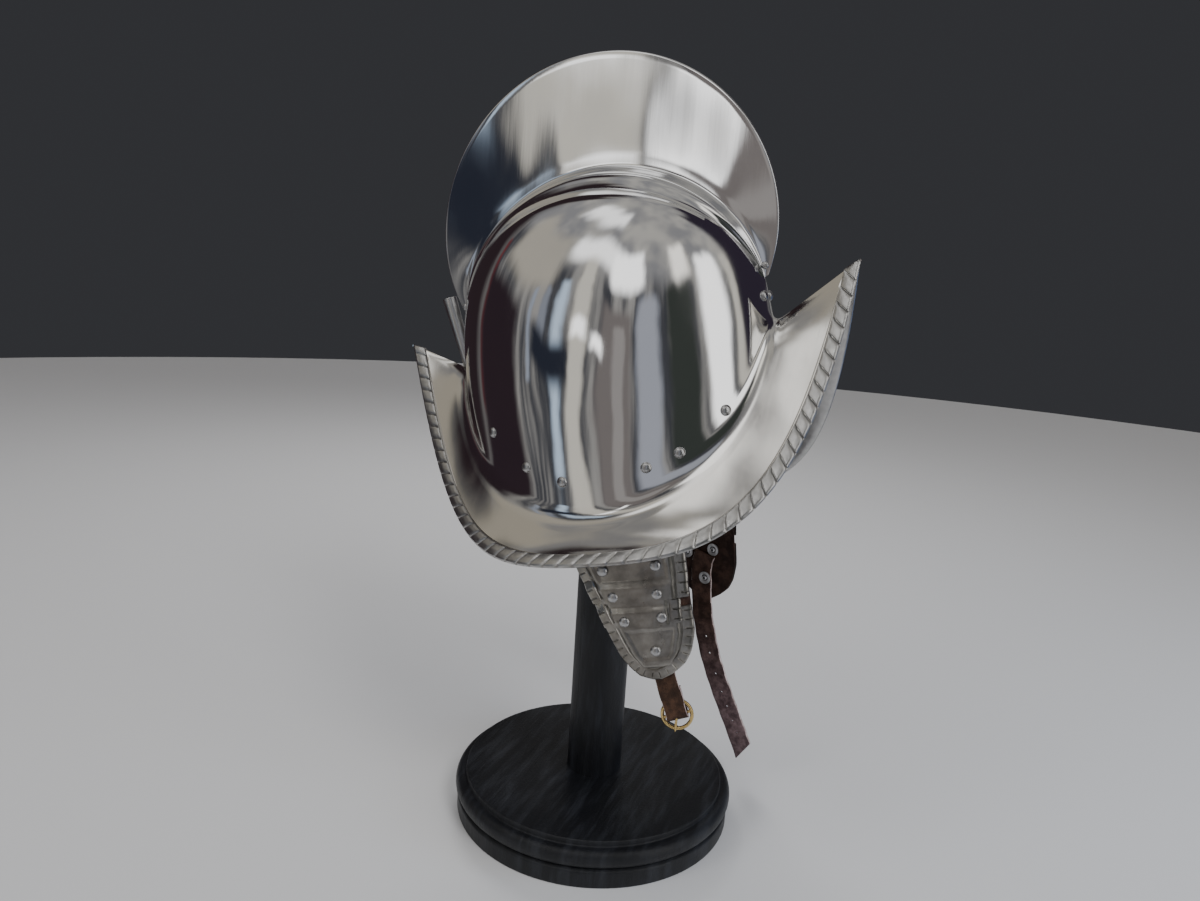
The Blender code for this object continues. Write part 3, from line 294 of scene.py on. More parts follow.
class Wire:
    """A value in a node tree. Arithmetic on it adds Math nodes."""

    __add__ = __radd__ = maths_of("ADD")
    __mul__ = __rmul__ = maths_of("MULTIPLY")
    __sub__, __rsub__, __pow__ = maths_of("SUBTRACT"), maths_of("SUBTRACT", True), maths_of("POWER")

    def __init__(self, bench, socket):
        self.bench, self.socket = bench, socket

    def between(self, low, high):
        """0 below low, 1 above high, smooth between."""
        return self.bench.node(
            "ShaderNodeMapRange", {"interpolation_type": "SMOOTHSTEP"},
            {"Value": self, "From Min": low, "From Max": high}, "Result",
        )


def socket_value(value):
    return (*value, 1.0) if isinstance(value, tuple) else value


class Bench:
    """A node tree being wired."""

    def __init__(self, tree):
        self.tree = tree

    def node(self, kind, settings, values, output=0):
        made = self.tree.nodes.new(kind)
        for name, value in settings.items():
            setattr(made, name, value)
        for name, value in values.items():
            if isinstance(value, Wire):
                self.tree.links.new(value.socket, made.inputs[name])
            else:
                made.inputs[name].default_value = value
        return Wire(self, made.outputs[output])

    def maths(self, operation, first, second=0.0):
        return self.node("ShaderNodeMath", {"operation": operation}, {0: first, 1: second})

    def place(self, scale=(1.0, 1.0, 1.0), turn=(0.0, 0.0, 0.0)):
        here = self.node("ShaderNodeTexCoord", {}, {}, "Object")
        return self.node("ShaderNodeMapping", {}, {"Vector": here, "Scale": scale, "Rotation": turn})

    def noise(self, place, scale, detail=3.0, rough=0.5):
        values = {"Vector": place, "Scale": scale, "Detail": detail, "Roughness": rough}
        return self.node("ShaderNodeTexNoise", {}, values, "Fac")

    def mix(self, share, first, last):
        colours = {"Factor": share, 6: socket_value(first), 7: socket_value(last)}
        return self.node("ShaderNodeMix", {"data_type": "RGBA"}, colours, 2)

    def bump(self, height, depth, strength=1.0, under=None):
        values = {"Height": height, "Distance": depth, "Strength": strength}
        if under is not None:
            values["Normal"] = under
        return self.node("ShaderNodeBump", {}, values)


def finish_of(name, colour, rough, metallic=0.0, normal=None, **fixed):
    """Wires a material. The first four values may each be a function that wires it on the bench."""
    made = bpy.data.materials.new(name)
    made.use_nodes = True
    bench = Bench(made.node_tree)
    shader = made.node_tree.nodes["Principled BSDF"]
    wired = {"Base Color": colour, "Roughness": rough, "Metallic": metallic, "Normal": normal}
    for socket, value in wired.items():
        if callable(value):
            made.node_tree.links.new(value(bench).socket, shader.inputs[socket])
        elif value is not None:
            shader.inputs[socket].default_value = socket_value(value)
    for socket, value in fixed.items():
        shader.inputs[socket.replace("_", " ")].default_value = value
    return made


def mottled(dark, light, scale, detail=3.0, rough=0.5, stretch=(1.0, 1.0, 1.0), edges=None):
    """A colour that wanders from dark to light, in blotches where their edges are given."""
    def colour(bench):
        cloud = bench.noise(bench.place(stretch), scale, detail, rough)
        return bench.mix(cloud.between(*edges) if edges else cloud, dark, light)
    return colour


def uneven(least, more, scale, detail=3.0, rough=0.5, stretch=(1.0, 1.0, 1.0)):
    return lambda bench: least + more * bench.noise(bench.place(stretch), scale, detail, rough)


def grained(depth, scale, detail=3.0, stretch=(1.0, 1.0, 1.0)):
    return lambda bench: bench.bump(bench.noise(bench.place(stretch), scale, detail), depth)


def satin_share(bench):
    return bench.node("ShaderNodeAttribute", {"attribute_name": "satin"}, {}, "Fac")


def steel_colour(bench):
    blush = bench.noise(bench.place(), 26.0, 4.0)
    bright = bench.mix(blush, (0.70, 0.705, 0.72), (0.80, 0.79, 0.775))
    return bench.mix(satin_share(bench), bright, (0.62, 0.60, 0.565))


def steel_rough(bench):
    smear = bench.noise(bench.place((1.0, 1.0, 0.30)), 30.0, 5.0, 0.6).between(0.42, 0.78)
    scratches = bench.noise(bench.place((6.0, 260.0, 6.0), (0.3, 0.5, 0.2)), 5.0, 2.0, 0.6)
    polish = 0.045 + 0.07 * smear + 0.05 * scratches.between(0.55, 0.80)
    return polish + 0.10 * satin_share(bench) * (0.5 + 0.9 * smear)


def steel_normal(bench):
    beaten = bench.noise(bench.place((1.0, 1.0, 0.5)), 17.0, 1.0, 0.35)
    brushed = bench.noise(bench.place((1.0, 1.0, 0.06)), 190.0, 2.0, 0.5)
    grit = bench.noise(bench.place((8.0, 340.0, 8.0), (0.4, 0.9, 0.3)), 4.0, 2.0, 0.7)
    planished = bench.bump(beaten + 0.006 * brushed, 0.0021)
    return bench.bump(grit, 0.000003, 0.6, planished)


def worked_normal(bench):
    dents = bench.bump(bench.noise(bench.place(), 95.0, 2.0), 0.0006)
    return bench.bump(bench.noise(bench.place((120.0, 120.0, 6.0)), 3.0, 3.0), 0.00005, under=dents)


def hide_colour(dark, light):
    return mottled(dark, light, 130.0, 6.0, 0.65, edges=(0.35, 0.72))


def hide_bump(bench):
    fluff = bench.noise(bench.place(), 900.0, 4.0, 0.7)
    lumps = bench.noise(bench.place(), 190.0, 3.0)
    return bench.bump(fluff + 0.8 * lumps, 0.0005)


def strap_colour(bench):
    """Dark brown above; paler and more purple below, a painted cool light on the lower strap."""
    height = bench.node("ShaderNodeSeparateXYZ", {}, {0: bench.place()}, "Z")
    worn = bench.noise(bench.place(), 120.0, 6.0, 0.65).between(0.32, 0.74)
    upper = bench.mix(worn, (0.022, 0.012, 0.009), (0.092, 0.051, 0.038))
    # Painted light: the paler, purple lower tone stands for cool light falling on the strap's lower part
    lower = bench.mix(worn, (0.080, 0.051, 0.056), (0.300, 0.210, 0.220))
    return bench.mix(1.0 - height.between(0.05, 0.15), upper, lower)


def paint_bump(bench):
    ring = bench.noise(bench.place((5.0, 70.0, 5.0), (0.0, 0.0, 0.35)), 3.0, 3.0, 0.6)
    speck = bench.noise(bench.place(), 520.0, 3.0, 0.6)
    return bench.bump(ring + 0.35 * speck, 0.00055)


polished_steel = finish_of("polished_steel", steel_colour, steel_rough, 1.0, steel_normal)
rope_steel = finish_of(
    "rope_steel", mottled((0.32, 0.315, 0.31), (0.64, 0.63, 0.61), 160.0, 4.0),
    uneven(0.22, 0.22, 220.0), 1.0, grained(0.00012, 420.0),
)
worked_steel = finish_of(
    "worked_steel", mottled((0.22, 0.208, 0.19), (0.38, 0.362, 0.33), 70.0, 6.0, 0.62, edges=(0.30, 0.70)),
    uneven(0.20, 0.20, 90.0, 4.0, 0.6, (1.0, 1.0, 0.3)), 1.0, worked_normal,
)
rivet_steel = finish_of(
    "rivet_steel", mottled((0.40, 0.40, 0.40), (0.56, 0.555, 0.55), 320.0),
    uneven(0.24, 0.14, 500.0), 1.0, grained(0.00003, 500.0, 2.0),
)
tube_steel = finish_of(
    "tube_steel", mottled((0.40, 0.40, 0.405), (0.64, 0.635, 0.62), 90.0, 4.0),
    uneven(0.24, 0.12, 200.0, stretch=(1.0, 1.0, 0.2)), 1.0, grained(0.00005, 400.0, 2.0, (1.0, 1.0, 0.15)),
)
washer_steel = finish_of(
    "washer_steel", (0.62, 0.62, 0.63), uneven(0.34, 0.2, 500.0), 1.0, grained(0.00015, 900.0),
)
# Painted shade for the rivets' recesses: a dark finish on the washer's groove and on the pit in the peened end
painted_crevice_shade = finish_of("painted_crevice_shade", (0.060, 0.056, 0.052), 0.6, 0.6)
brown_leather = finish_of(
    "brown_leather", hide_colour((0.016, 0.008, 0.006), (0.062, 0.033, 0.024)),
    uneven(0.62, 0.25, 300.0, 4.0), 0.0, hide_bump, Specular_IOR_Level=0.3,
)
strap_leather = finish_of(
    "strap_leather", strap_colour, uneven(0.72, 0.2, 300.0, 4.0), 0.0, hide_bump, Specular_IOR_Level=0.25,
)
buckle_hide = finish_of(
    "buckle_hide", hide_colour((0.026, 0.013, 0.008), (0.088, 0.045, 0.027)),
    uneven(0.60, 0.2, 300.0, 4.0), 0.0, hide_bump, Specular_IOR_Level=0.3,
)
# Pale cut edges: the raw hide's lighter tone, with a painted highlight on it
cut_edge_highlight = finish_of(
    "cut_edge_highlight", hide_colour((0.24, 0.18, 0.17), (0.66, 0.56, 0.54)), 0.85, 0.0, hide_bump,
    Specular_IOR_Level=0.2,
)
brass = finish_of(
    "brass", mottled((0.56, 0.38, 0.13), (0.80, 0.62, 0.30), 260.0), uneven(0.18, 0.14, 300.0), 1.0,
    grained(0.0001, 500.0, 2.0),
)
black_paint = finish_of(
    "black_painted_wood",
    mottled((0.006, 0.0065, 0.008), (0.020, 0.022, 0.027), 24.0, 5.0, 0.6, (1.0, 6.0, 1.0), (0.4, 0.8)),
    uneven(0.36, 0.22, 22.0, 5.0, 0.6, (1.0, 9.0, 1.0)), 0.0, paint_bump, Specular_IOR_Level=0.38,
)


# Bowl: skull, comb and brim. A share runs from 0 at the front to 1 at the rear.

def skull_line(angle):
    return SKULL_LONG * math.cos(angle) - SKULL_BACK, SKULL_MIDDLE + SKULL_RISE * math.sin(angle)


def comb_line(angle):
    return COMB_LONG * math.cos(angle) - COMB_BACK, COMB_MIDDLE + COMB_RISE * math.sin(angle)


def comb_end(low, high):
    """The angle on the skull's line where the comb's line leaves it."""
    for _ in range(50):
        middle = 0.5 * (low + high)
        fore, height = skull_line(middle)
        if ((fore + COMB_BACK) / COMB_LONG) ** 2 + ((height - COMB_MIDDLE) / COMB_RISE) ** 2 > 1.0:
            low = middle
        else:
            high = middle
    return 0.5 * (low + high)


def on_comb(skull_angle):
    fore, height = skull_line(skull_angle)
    angle = math.atan2((height - COMB_MIDDLE) / COMB_RISE, (fore + COMB_BACK) / COMB_LONG)
    return angle + math.tau if angle < -math.pi / 2 else angle


FRONT_END, REAR_END = comb_end(-math.pi / 4, math.pi / 2), comb_end(1.25 * math.pi, math.pi / 2)
COMB_FRONT, COMB_REAR = on_comb(FRONT_END), on_comb(REAR_END)


def comb_axes(share):
    """The comb's foot and rim, and the way up between them."""
    angle = lerp(FRONT_END, REAR_END, share)
    fore, height = skull_line(angle)
    foot = Vector((0.0, -fore, height))
    fore, height = comb_line(lerp(COMB_FRONT, COMB_REAR, share))
    rim = Vector((0.0, -fore, height))
    up = rim - foot
    if up.length <= 1e-4:
        up = Vector((0.0, -math.cos(angle) / SKULL_LONG, math.sin(angle) / SKULL_RISE))
    return foot, rim, up.normalized()


def neck_height(across, ahead):
    climb = NECK_ROUND * across**2 + (1.0 - NECK_ROUND) * across**10
    return lerp(NECK_SIDE, NECK_FRONT if ahead else NECK_REAR, climb)


def neck_point(share):
    turn = math.pi * share
    side = SKULL_WIDE * math.sin(turn) if 0.0 < share < 1.0 else 0.0
    fore = SKULL_LONG * math.cos(turn) - SKULL_BACK
    return Vector((side, -fore, neck_height(abs(math.cos(turn)), share < 0.5)))


def brim_edge(share):
    fore = 0.5 * math.cos(math.pi * share) + 0.5 * (1.0 - 2.0 * share)
    tip = BRIM_FRONT_TIP if share < 0.5 else BRIM_REAR_TIP
    side = BRIM_WIDE * (1.0 - abs(fore) ** BRIM_PLAN) if 0.0 < share < 1.0 else 0.0
    return Vector((side, -BRIM_LONG * fore, tip * abs(fore) ** BRIM_CLIMB))


def edge_axes(share):
    """The brim's edge, with the ways out of it and up."""
    edge, step = brim_edge(share), 0.004
    way = (brim_edge(min(1.0, share + step)) - brim_edge(max(0.0, share - step))).normalized()
    out = edge - neck_point(share)
    out = (out - out.dot(way) * way).normalized()
    up = way.cross(out)
    return edge, out, up if up.z > 0.0 else -up


def inward(edge, out, distance):
    """How far in from the edge a point can lie before it crosses the middle of the helmet."""
    return min(distance, edge.x / out.x) if out.x > 1e-6 else distance


def dome_point(neck, top, turn):
    rise = math.sin(turn)
    width = neck.x * math.cos(turn) * (1.0 + SKULL_SWELL * rise)
    return Vector((width, lerp(neck.y, top.y, rise), lerp(neck.z, top.z, rise)))


def dome_turn(neck, half):
    """Where on the dome's section its half width is this."""
    turn = math.pi / 2
    for _ in range(8):
        if neck.x > 0.0:
            turn = math.acos(min(1.0, half / (neck.x * (1.0 + SKULL_SWELL * math.sin(turn)))))
    return turn


def root_relief(part):
    """Height of the worked band beside the comb's foot: a hollow from its crease, then a roll."""
    if part < HOLLOW_END:
        return -HOLLOW_DEEP * math.sin(math.pi * part / HOLLOW_END)
    here = (part - HOLLOW_END) / (1.0 - HOLLOW_END)
    return FOOT_STEP * here + ROLL_HIGH * math.sin(math.pi * here)


def foot_relief(part):
    """Height of the second roll, which lies in the corner between skull and comb."""
    here = min(1.0, part / FOOT_END)
    return FOOT_STEP * (1.0 - here) + FOOT_HIGH * math.sin(math.pi * here)


def brim_rows(start, arm, edge, middle):
    """Rows of the section from the brim's hidden edge to the fillet round the neck."""
    run = (arm - start).length
    plain_rows = BRIM_ROWS - len(BORDER_LINE)
    parts = [(way_in / run, depth * ease(0.0, ROPE_WIDE, edge.x)) for way_in, depth in BORDER_LINE]
    parts += [(lerp(BORDER_LINE_END / run, 1.0, step / plain_rows), 0.0) for step in range(plain_rows)]
    rows = []
    for part, depth in parts:
        point = lerp(start, arm, part)
        point.z -= 4.0 * BRIM_SAG * part * (1.0 - part) * middle
        rows.append((point, depth, 1.0))
    return rows


def comb_rows(base, rim, up, scale, middle):
    """Rows of the section from the corner at the comb's foot up its blade and over its rim."""
    fillet, blade, rim_half = COMB_FILLET * scale, COMB_ROOT * scale, COMB_RIM * scale
    left = (rim - base).length
    sizes = []
    for step in range(FOOT_ROWS + 1):
        part = step / FOOT_ROWS
        turn = math.pi / 2 * part
        half = blade + fillet * (1.0 - math.sin(turn))
        sizes.append((fillet * (1.0 - math.cos(turn)), half, foot_relief(part) * scale))
    for step in range(1, BLADE_ROWS):
        part = step / BLADE_ROWS
        rise = lerp(fillet, max(fillet, left - rim_half), part)
        sizes.append((rise, lerp(blade, rim_half, part**0.7), 0.0))
    for step in range(RIM_ROWS + 1):
        turn = math.pi / 2 * step / RIM_ROWS
        rise = max(fillet, left - rim_half * (1.0 - math.sin(turn)))
        sizes.append((rise, rim_half * math.cos(turn) * middle, 0.0))
    return [(base + up * rise + Vector((half, 0.0, 0.0)), relief, 0.0) for rise, half, relief in sizes]


def bowl_section(share):
    """Outer rows from the brim's edge to the comb's rim, as (point, relief, share of satin).

    Then come two points of the hollow inside the comb, and how closely the inner wall follows its foot."""
    middle = 0.0 if share in (0.0, 1.0) else 1.0
    neck = neck_point(share)
    foot, rim, up = comb_axes(share)
    tall = (rim - foot).length
    # The comb thins away where it is low, and where the skull is narrow
    narrow = 0.5 * neck.x / (COMB_ROOT + COMB_FILLET)
    scale = 0.0
    if tall > 1e-5 and narrow > 1e-5:
        scale = ((tall / COMB_TAPER) ** -4 + narrow**-4 + 1.0) ** -0.25
    fillet, blade = COMB_FILLET * scale, COMB_ROOT * scale
    edge, out, lift = edge_axes(share)
    start = edge - inward(edge, out, ROPE_TUCK) * SHEET_TUCK * out + SHEET_LIFT * lift
    arm = lerp(neck, start, NECK_FILLET / (start - neck).length)
    first = math.asin(min(0.4, NECK_FILLET / (foot - neck).length))
    last = dome_turn(neck, blade + fillet)
    crease = dome_turn(neck, max(blade + fillet, min(ROOT_BAND, ROOT_SHARE * neck.x)))
    dome_start = dome_point(neck, foot, first)

    outer = brim_rows(start, arm, edge, middle)
    for step in range(FILLET_ROWS):
        part = step / FILLET_ROWS
        outer.append((bend(arm, neck, dome_start, part), 0.0, 1.0 - part))
    for step in range(DOME_ROWS):
        outer.append((dome_point(neck, foot, lerp(first, crease, step / DOME_ROWS)), 0.0, 0.0))
    for step in range(ROOT_ROWS):
        part = step / ROOT_ROWS
        outer.append((dome_point(neck, foot, lerp(crease, last, part)), root_relief(part) * scale, 0.0))
    base = dome_point(neck, foot, last)
    base.x = 0.0
    outer += comb_rows(base, rim, up, scale, middle)
    hollow = [
        base + up * lerp(-2.0 * WALL, COMB_HOLLOW * tall, scale),
        base + up * lerp(-1.6 * WALL, 1.3 * fillet, scale)
        + Vector((lerp(0.12 * neck.x, blade - 1.1 * WALL, scale), 0.0, 0.0)),
    ]
    return outer, hollow, ease(0.35, 0.80, scale)


def spot_key(point):
    return tuple(round(value, 7) for value in point)


def outer_face(columns):
    """Rows of (point, outward normal, relief, share of satin) over the bowl's outer face."""
    count = len(columns[0][0])
    face = laid_grid([[outer[row][0] for outer, _, _ in columns] for row in range(count)])
    face.normal_update()
    normals = {}
    for vert in face.verts:
        normals.setdefault(spot_key(vert.co), vert.normal.copy())
    face.free()
    inside = Vector((0.0, 0.0, 0.5 * SKULL_MIDDLE))
    rows = []
    for row in range(count):
        rows.append([])
        for column, (outer, _, _) in enumerate(columns):
            point, relief, satin = outer[row]
            normal = normals[spot_key(point)].copy()
            if row < BRIM_ROWS:
                facing = Vector((0.0, 0.0, 1.0))
            elif row < BRIM_ROWS + FILLET_ROWS:
                facing = Vector((point.x, point.y, 0.3))
            else:
                facing = point - inside
            if normal.dot(facing) < 0.0:
                normal = -normal
            if column in (0, len(columns) - 1):
                normal.x = 0.0
                normal.normalize()
            rows[-1].append((point, normal, relief, satin))
    return rows


def build_bowl():
    """Skull, comb and brim as one sheet, a left half mirrored. Gives a tree of its faces."""
    columns = [bowl_section(column / BOWL_COLUMNS) for column in range(BOWL_COLUMNS + 1)]
    outer = outer_face(columns)
    dome_end = BRIM_ROWS + FILLET_ROWS + DOME_ROWS + ROOT_ROWS

    def under(row, column):
        point, normal, relief, _ = outer[row][column]
        below = point + (min(0.0, relief) - WALL) * normal
        below.x = max(below.x, 0.4 * point.x) if 0 < column < BOWL_COLUMNS else 0.0
        return below

    lines = [[hollow[level] for _, hollow, _ in columns] for level in range(2)]
    for row in range(dome_end + FOOT_ROWS, -1, -2):
        line = []
        for column, (_, hollow, follow) in enumerate(columns):
            below = under(row, column)
            if row > dome_end:
                straight = lerp(under(dome_end, column), hollow[1], 0.9 * (row - dome_end) / FOOT_ROWS)
                below = lerp(straight, below, follow)
            line.append(below)
        lines.append(line)
    satin = [0.0] * len(lines)
    for line in outer:
        lines.append([point + relief * normal for point, normal, relief, _ in line])
        satin.append(line[0][3])
    bm = laid_grid(lines, satin)
    made_whole(bm, 2e-6)
    tree = BVHTree.FromBMesh(bm)
    finished("bowl", bm, [polished_steel], ["helmet_bowl"], 28.0)
    return tree


# Roped border of the brim

def rope_spot(share, row, part, deep):
    """A point on the rope's section, part of the way in, where the cut is so deep."""
    edge, out, up = edge_axes(share)
    inset = inward(edge, out, part * ROPE_WIDE)
    here = inset / ROPE_WIDE
    if row < len(ROPE_TOP):
        # The cuts fade out at both edges of the border and towards its two ends
        window = ease(0.0, 0.07, here) * ease(0.96, 0.80, here) * ease(0.0, ROPE_TUCK, edge.x)
        level = between_rows(ROPE_CROWN, here)[0] - ROPE_CUT * deep * window
    else:
        swell = math.sqrt(max(0.0, 1.0 - (here - 1.0) ** 4)) if here < 1.0 else 1.0
        level = ROPE_FOOT - (ROPE_DEEP + ROPE_FOOT) * swell
    spot = edge - inset * out + level * up
    halves_meet = edge.x < 1e-9 or inset < part * ROPE_WIDE - 1e-9
    spot.x = 0.0 if halves_meet else max(0.0, spot.x)
    return spot


def build_rope():
    lengths = running_lengths([brim_edge(step / EDGE_STEPS) for step in range(EDGE_STEPS + 1)])
    turns = round(lengths[-1] / ROPE_PITCH)
    pitch = lengths[-1] / turns
    ways_in = (*ROPE_TOP, *ROPE_UNDER)
    rows = [[] for _ in ways_in]
    for turn in range(-1, turns + 1):
        for place, deep in ROPE_TURN:
            for row, part in enumerate(ways_in):
                length = pitch * (turn + place + ROPE_SLANT * (0.5 - part))
                share = sum(step_at(lengths, length)) / EDGE_STEPS
                rows[row].append(rope_spot(share, row, part, deep))
    bm = laid_grid([*rows, rows[0]])
    made_whole(bm, 2e-5)
    finished("brim_rope", bm, [rope_steel], (), 30.0)


# Cheek pieces

def outline_at(depth):
    rear, front = between_rows(CHEEK_OUTLINE, depth)
    return -CHEEK_WIDE * rear, CHEEK_WIDE * front


class Cheek:
    """The curved surface that one cheek piece lies on, inside the skull's wall."""

    def __init__(self, tree, side):
        self.tree, self.side = tree, side

    def point(self, fore, height, lift):
        """fore and height in metres from the cheek piece's centre line and the brim's side edge."""
        ahead = CHEEK_FORE + fore
        across = min(1.0, abs(ahead + SKULL_BACK) / SKULL_LONG)
        level = max(height, neck_height(across, ahead > -SKULL_BACK) + NECK_FILLET)
        hit = self.tree.ray_cast(Vector((0.0, -ahead, level)), Vector((1.0, 0.0, 0.0)), 0.2)[0]
        swing = math.tan(CHEEK_SWING[self.side]) * max(0.0, CHEEK_SWING_HEIGHT - height)
        side = hit.x - LEATHER_GAP + lift
        return Vector((side if self.side == "left" else -side, swing - ahead, height))


def plate(levels):
    """A closed plate from (outer row, inner row) pairs, top to bottom."""
    rings = [[*outer, *reversed(inner), outer[0]] for outer, inner in levels]
    caps = []
    for outer, inner in (levels[0], levels[-1]):
        middle = [0.5 * (a + b) for a, b in zip(outer, inner)]
        caps.append([*middle, *reversed(middle), middle[0]])
    bm = laid_grid([caps[0], *rings, caps[1]])
    closed_up(bm)
    return bm


def build_leather(cheek):
    levels = []
    for step in range(61):
        depth = lerp(CHEEK_OUTLINE[0][0], CHEEK_OUTLINE[-1][0], (step / 60) ** 0.8)
        rear, front = outline_at(depth)
        fores = [lerp(rear + LEATHER_INSET, front - LEATHER_INSET, column / 24) for column in range(25)]
        height = -CHEEK_LONG * depth
        levels.append([[cheek.point(fore, height, lift) for fore in fores] for lift in (0.0, -LEATHER_THICK)])
    nodes = [f"cheek_leather_{cheek.side}"]
    finished(f"leather_{cheek.side}", plate(levels), [brown_leather], nodes, 50.0)


def lame_lift(lame, depth):
    """How far a lame stands off the leather: its lower part steps up over the lame below."""
    _, _, bottom, _, high, low = lame
    return lerp(high, low, ease(bottom - LAME_LAP - LAME_STEP, bottom - LAME_LAP, depth))


def lame_sheet(cheek, lame):
    """The plate of a lame, with a raised ridge inside its border."""
    name, top, bottom, set_in, _, _ = lame
    levels = []
    for row in range(LAME_ROWS + 1):
        depth = lerp(top, bottom, row / LAME_ROWS)
        rear, front = outline_at(depth)
        rear, front = rear + LAME_INSET, front - set_in - LAME_INSET
        lift, height = lame_lift(lame, depth), -CHEEK_LONG * depth
        outer, inner = [], []
        for column in range(LAME_COLUMNS + 1):
            fore = lerp(rear, front, column / LAME_COLUMNS)
            from_edge = min(fore - rear, front - fore)
            if name == "lower":
                from_edge = min(from_edge, CHEEK_LONG * (bottom - depth) + 0.0001)
            within = min(from_edge, CHEEK_LONG * min(depth - top, bottom - depth) - 0.0015)
            ridge = ease(LAME_BORDER + 0.0006, LAME_BORDER + 0.0022, from_edge)
            field = ease(LAME_BORDER + 0.0042, LAME_BORDER + 0.0056, within)
            outer.append(cheek.point(fore, height, lift + LAME_RIDGE * (ridge - 0.75 * field)))
            inner.append(cheek.point(fore, height, lift - LAME_THICK))
        levels.append((outer, inner))
    return plate(levels)


def lame_paths(lame):
    """The edges of a lame as paths of (fore, height): its two sides, joined round the lowest one's end."""
    name, top, bottom, set_in, _, _ = lame
    rear, front = [], []
    for step in range(41):
        depth = lerp(top, bottom, step / 40)
        back, ahead = outline_at(depth)
        rear.append(Vector((back, -CHEEK_LONG * depth)))
        front.append(Vector((ahead - set_in, -CHEEK_LONG * depth)))
    if name != "lower":
        return [rear, front[::-1]]
    return [rear + [lerp(rear[-1], front[-1], part / 8) for part in range(1, 8)] + front[::-1]]


def lame_band(cheek, lame, path):
    """The notched border along one edge of a lame."""
    smooth = path
    for _ in range(3):
        inner = [0.25 * a + 0.5 * b + 0.25 * c for a, b, c in zip(smooth, smooth[1:], smooth[2:])]
        smooth = [smooth[0], *inner, smooth[-1]]
    lengths = running_lengths(smooth)
    total = lengths[-1]
    notches = max(1, round(total / LAME_PITCH))
    centre = sum(path, Vector((0.0, 0.0))) / len(path)

    def at(length):
        place, share = step_at(lengths, length)
        return lerp(smooth[place], smooth[place + 1], share)

    levels = []
    for notch in range(notches + 1):
        for part, deep in LAME_NOTCH:
            length = total / notches * (notch + part - 0.5)
            if not 0.0 <= length <= total:
                continue
            here = at(length)
            way = at(length + 0.0004) - at(length - 0.0004)
            into = Vector((-way.y, way.x)).normalized()
            if into.dot(centre - here if lame[0] == "lower" else Vector((-centre.x, 0.0))) < 0.0:
                into = -into
            lift = lame_lift(lame, -here.y / CHEEK_LONG)
            outer, inner = [], []
            for width in LAME_WAYS_IN:
                spot = here + width * LAME_BORDER * into
                raised = LAME_RAISE * ease(-0.02, 0.12, width) * ease(1.0, 0.90, width)
                raised -= LAME_CUT * deep * ease(0.76, 0.60, width)
                outer.append(cheek.point(spot.x, spot.y, lift + raised + 0.00002))
                inner.append(cheek.point(spot.x, spot.y, lift - 0.9 * LAME_THICK))
            levels.append((outer, inner))
    return plate(levels)


def build_lame(cheek, lame):
    bands = [lame_band(cheek, lame, path) for path in lame_paths(lame)]
    bm = together([lame_sheet(cheek, lame), *bands])
    name = f"{lame[0]}_{cheek.side}"
    finished(f"lame_{name}", bm, [worked_steel], [f"cheek_lame_{name}"], 30.0)


# Rivets

def rivet_axes(node):
    """The middle of a turned CAD node, its axis from its flat faces, and its points."""
    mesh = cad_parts[node].data
    flats = []
    for polygon in mesh.polygons:
        for flat in flats:
            if abs(flat[0].dot(polygon.normal)) > 0.9995:
                flat[1] += polygon.area
                break
        else:
            flats.append([polygon.normal.copy(), polygon.area])
    axis = max(flats, key=lambda flat: flat[1])[0]
    points = [vert.co for vert in mesh.vertices]
    levels = [point.dot(axis) for point in points]
    top, low = max(levels), min(levels)
    rings = [point for point, level in zip(points, levels) if top - 1e-5 > level > low + 1e-5]
    return sum(rings, Vector()) / len(rings), axis, points


def outward(node):
    """Roughly the way that a rivet's head faces."""
    low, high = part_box(node)
    centre = 0.5 * (low + high)
    if node.startswith("keel"):
        return Vector((0.0, -1.0, 0.2))
    if node.startswith("comb"):
        return Vector((1.0, 0.0, 0.0))
    if node.startswith("cheek"):
        return Vector((centre.x, 0.0, 0.0))
    return centre - HELMET @ Vector((0.0, 0.0, SKULL_MIDDLE))


def rivet_profile(top, low, wide, two_heads):
    """A rivet's profile from its domed head at the top to a second head, or its washer, at the low end."""
    share = COMB_RIVET_SHARE if two_heads else 1.0
    head, high, shank = share * RIVET_WIDE, share * RIVET_HIGH, share * SHANK_WIDE
    dome = []
    for step in range(7):
        turn = math.pi / 2 * step / 6
        dome.append((head * math.sin(turn) ** 0.9, top - high + high * math.cos(turn)))
    dome += [(head * 0.97, top - high - RIVET_EDGE), (shank, top - high - RIVET_EDGE)]
    if two_heads:
        return dome + [(radius, top + low - height) for radius, height in reversed(dome)]
    washer = wide if wide > WASHER_LEAST else PEEN_WIDE
    face, bevel = low + WASHER_FACE, WASHER_BEVEL
    back = face + WASHER_THICK
    rim = [(washer - bevel, back), (washer, back - bevel), (washer, face + bevel), (washer - bevel, face)]
    middle = WASHER_MIDDLE if wide > WASHER_LEAST else ((0.0, 0.0),)
    return [*dome, (SHANK_WIDE, back), *rim, *((radius, low + height) for radius, height in middle)]


def build_rivet(node):
    mean, axis, points = rivet_axes(node)
    if axis.dot(outward(node)) < 0.0:
        axis = -axis
    levels = [(point - mean).dot(axis) for point in points]
    top, low = max(levels), min(levels)
    wide = max((point - mean - level * axis).length for point, level in zip(points, levels))
    two_heads = node.startswith("comb")
    bm = turned(rivet_profile(top, low, wide, two_heads), 24, along(axis, mean))
    finishes = [rivet_steel, washer_steel, painted_crevice_shade]
    piece = finished(node.replace("rivet", "stud"), bm, finishes, [node], 40.0, None)
    for polygon in piece.data.polygons:
        level = (polygon.center - mean).dot(axis)
        if level < 0.5 * (top + low) and not two_heads:
            radius = (polygon.center - mean - level * axis).length
            # The pit and the washer's groove get painted shade, a dark finish standing for the shade in these
            # recesses
            dark = radius < PIT_WIDE or GROOVE_START < radius < GROOVE_END
            polygon.material_index = 2 if dark else 1


# Straps and buckle

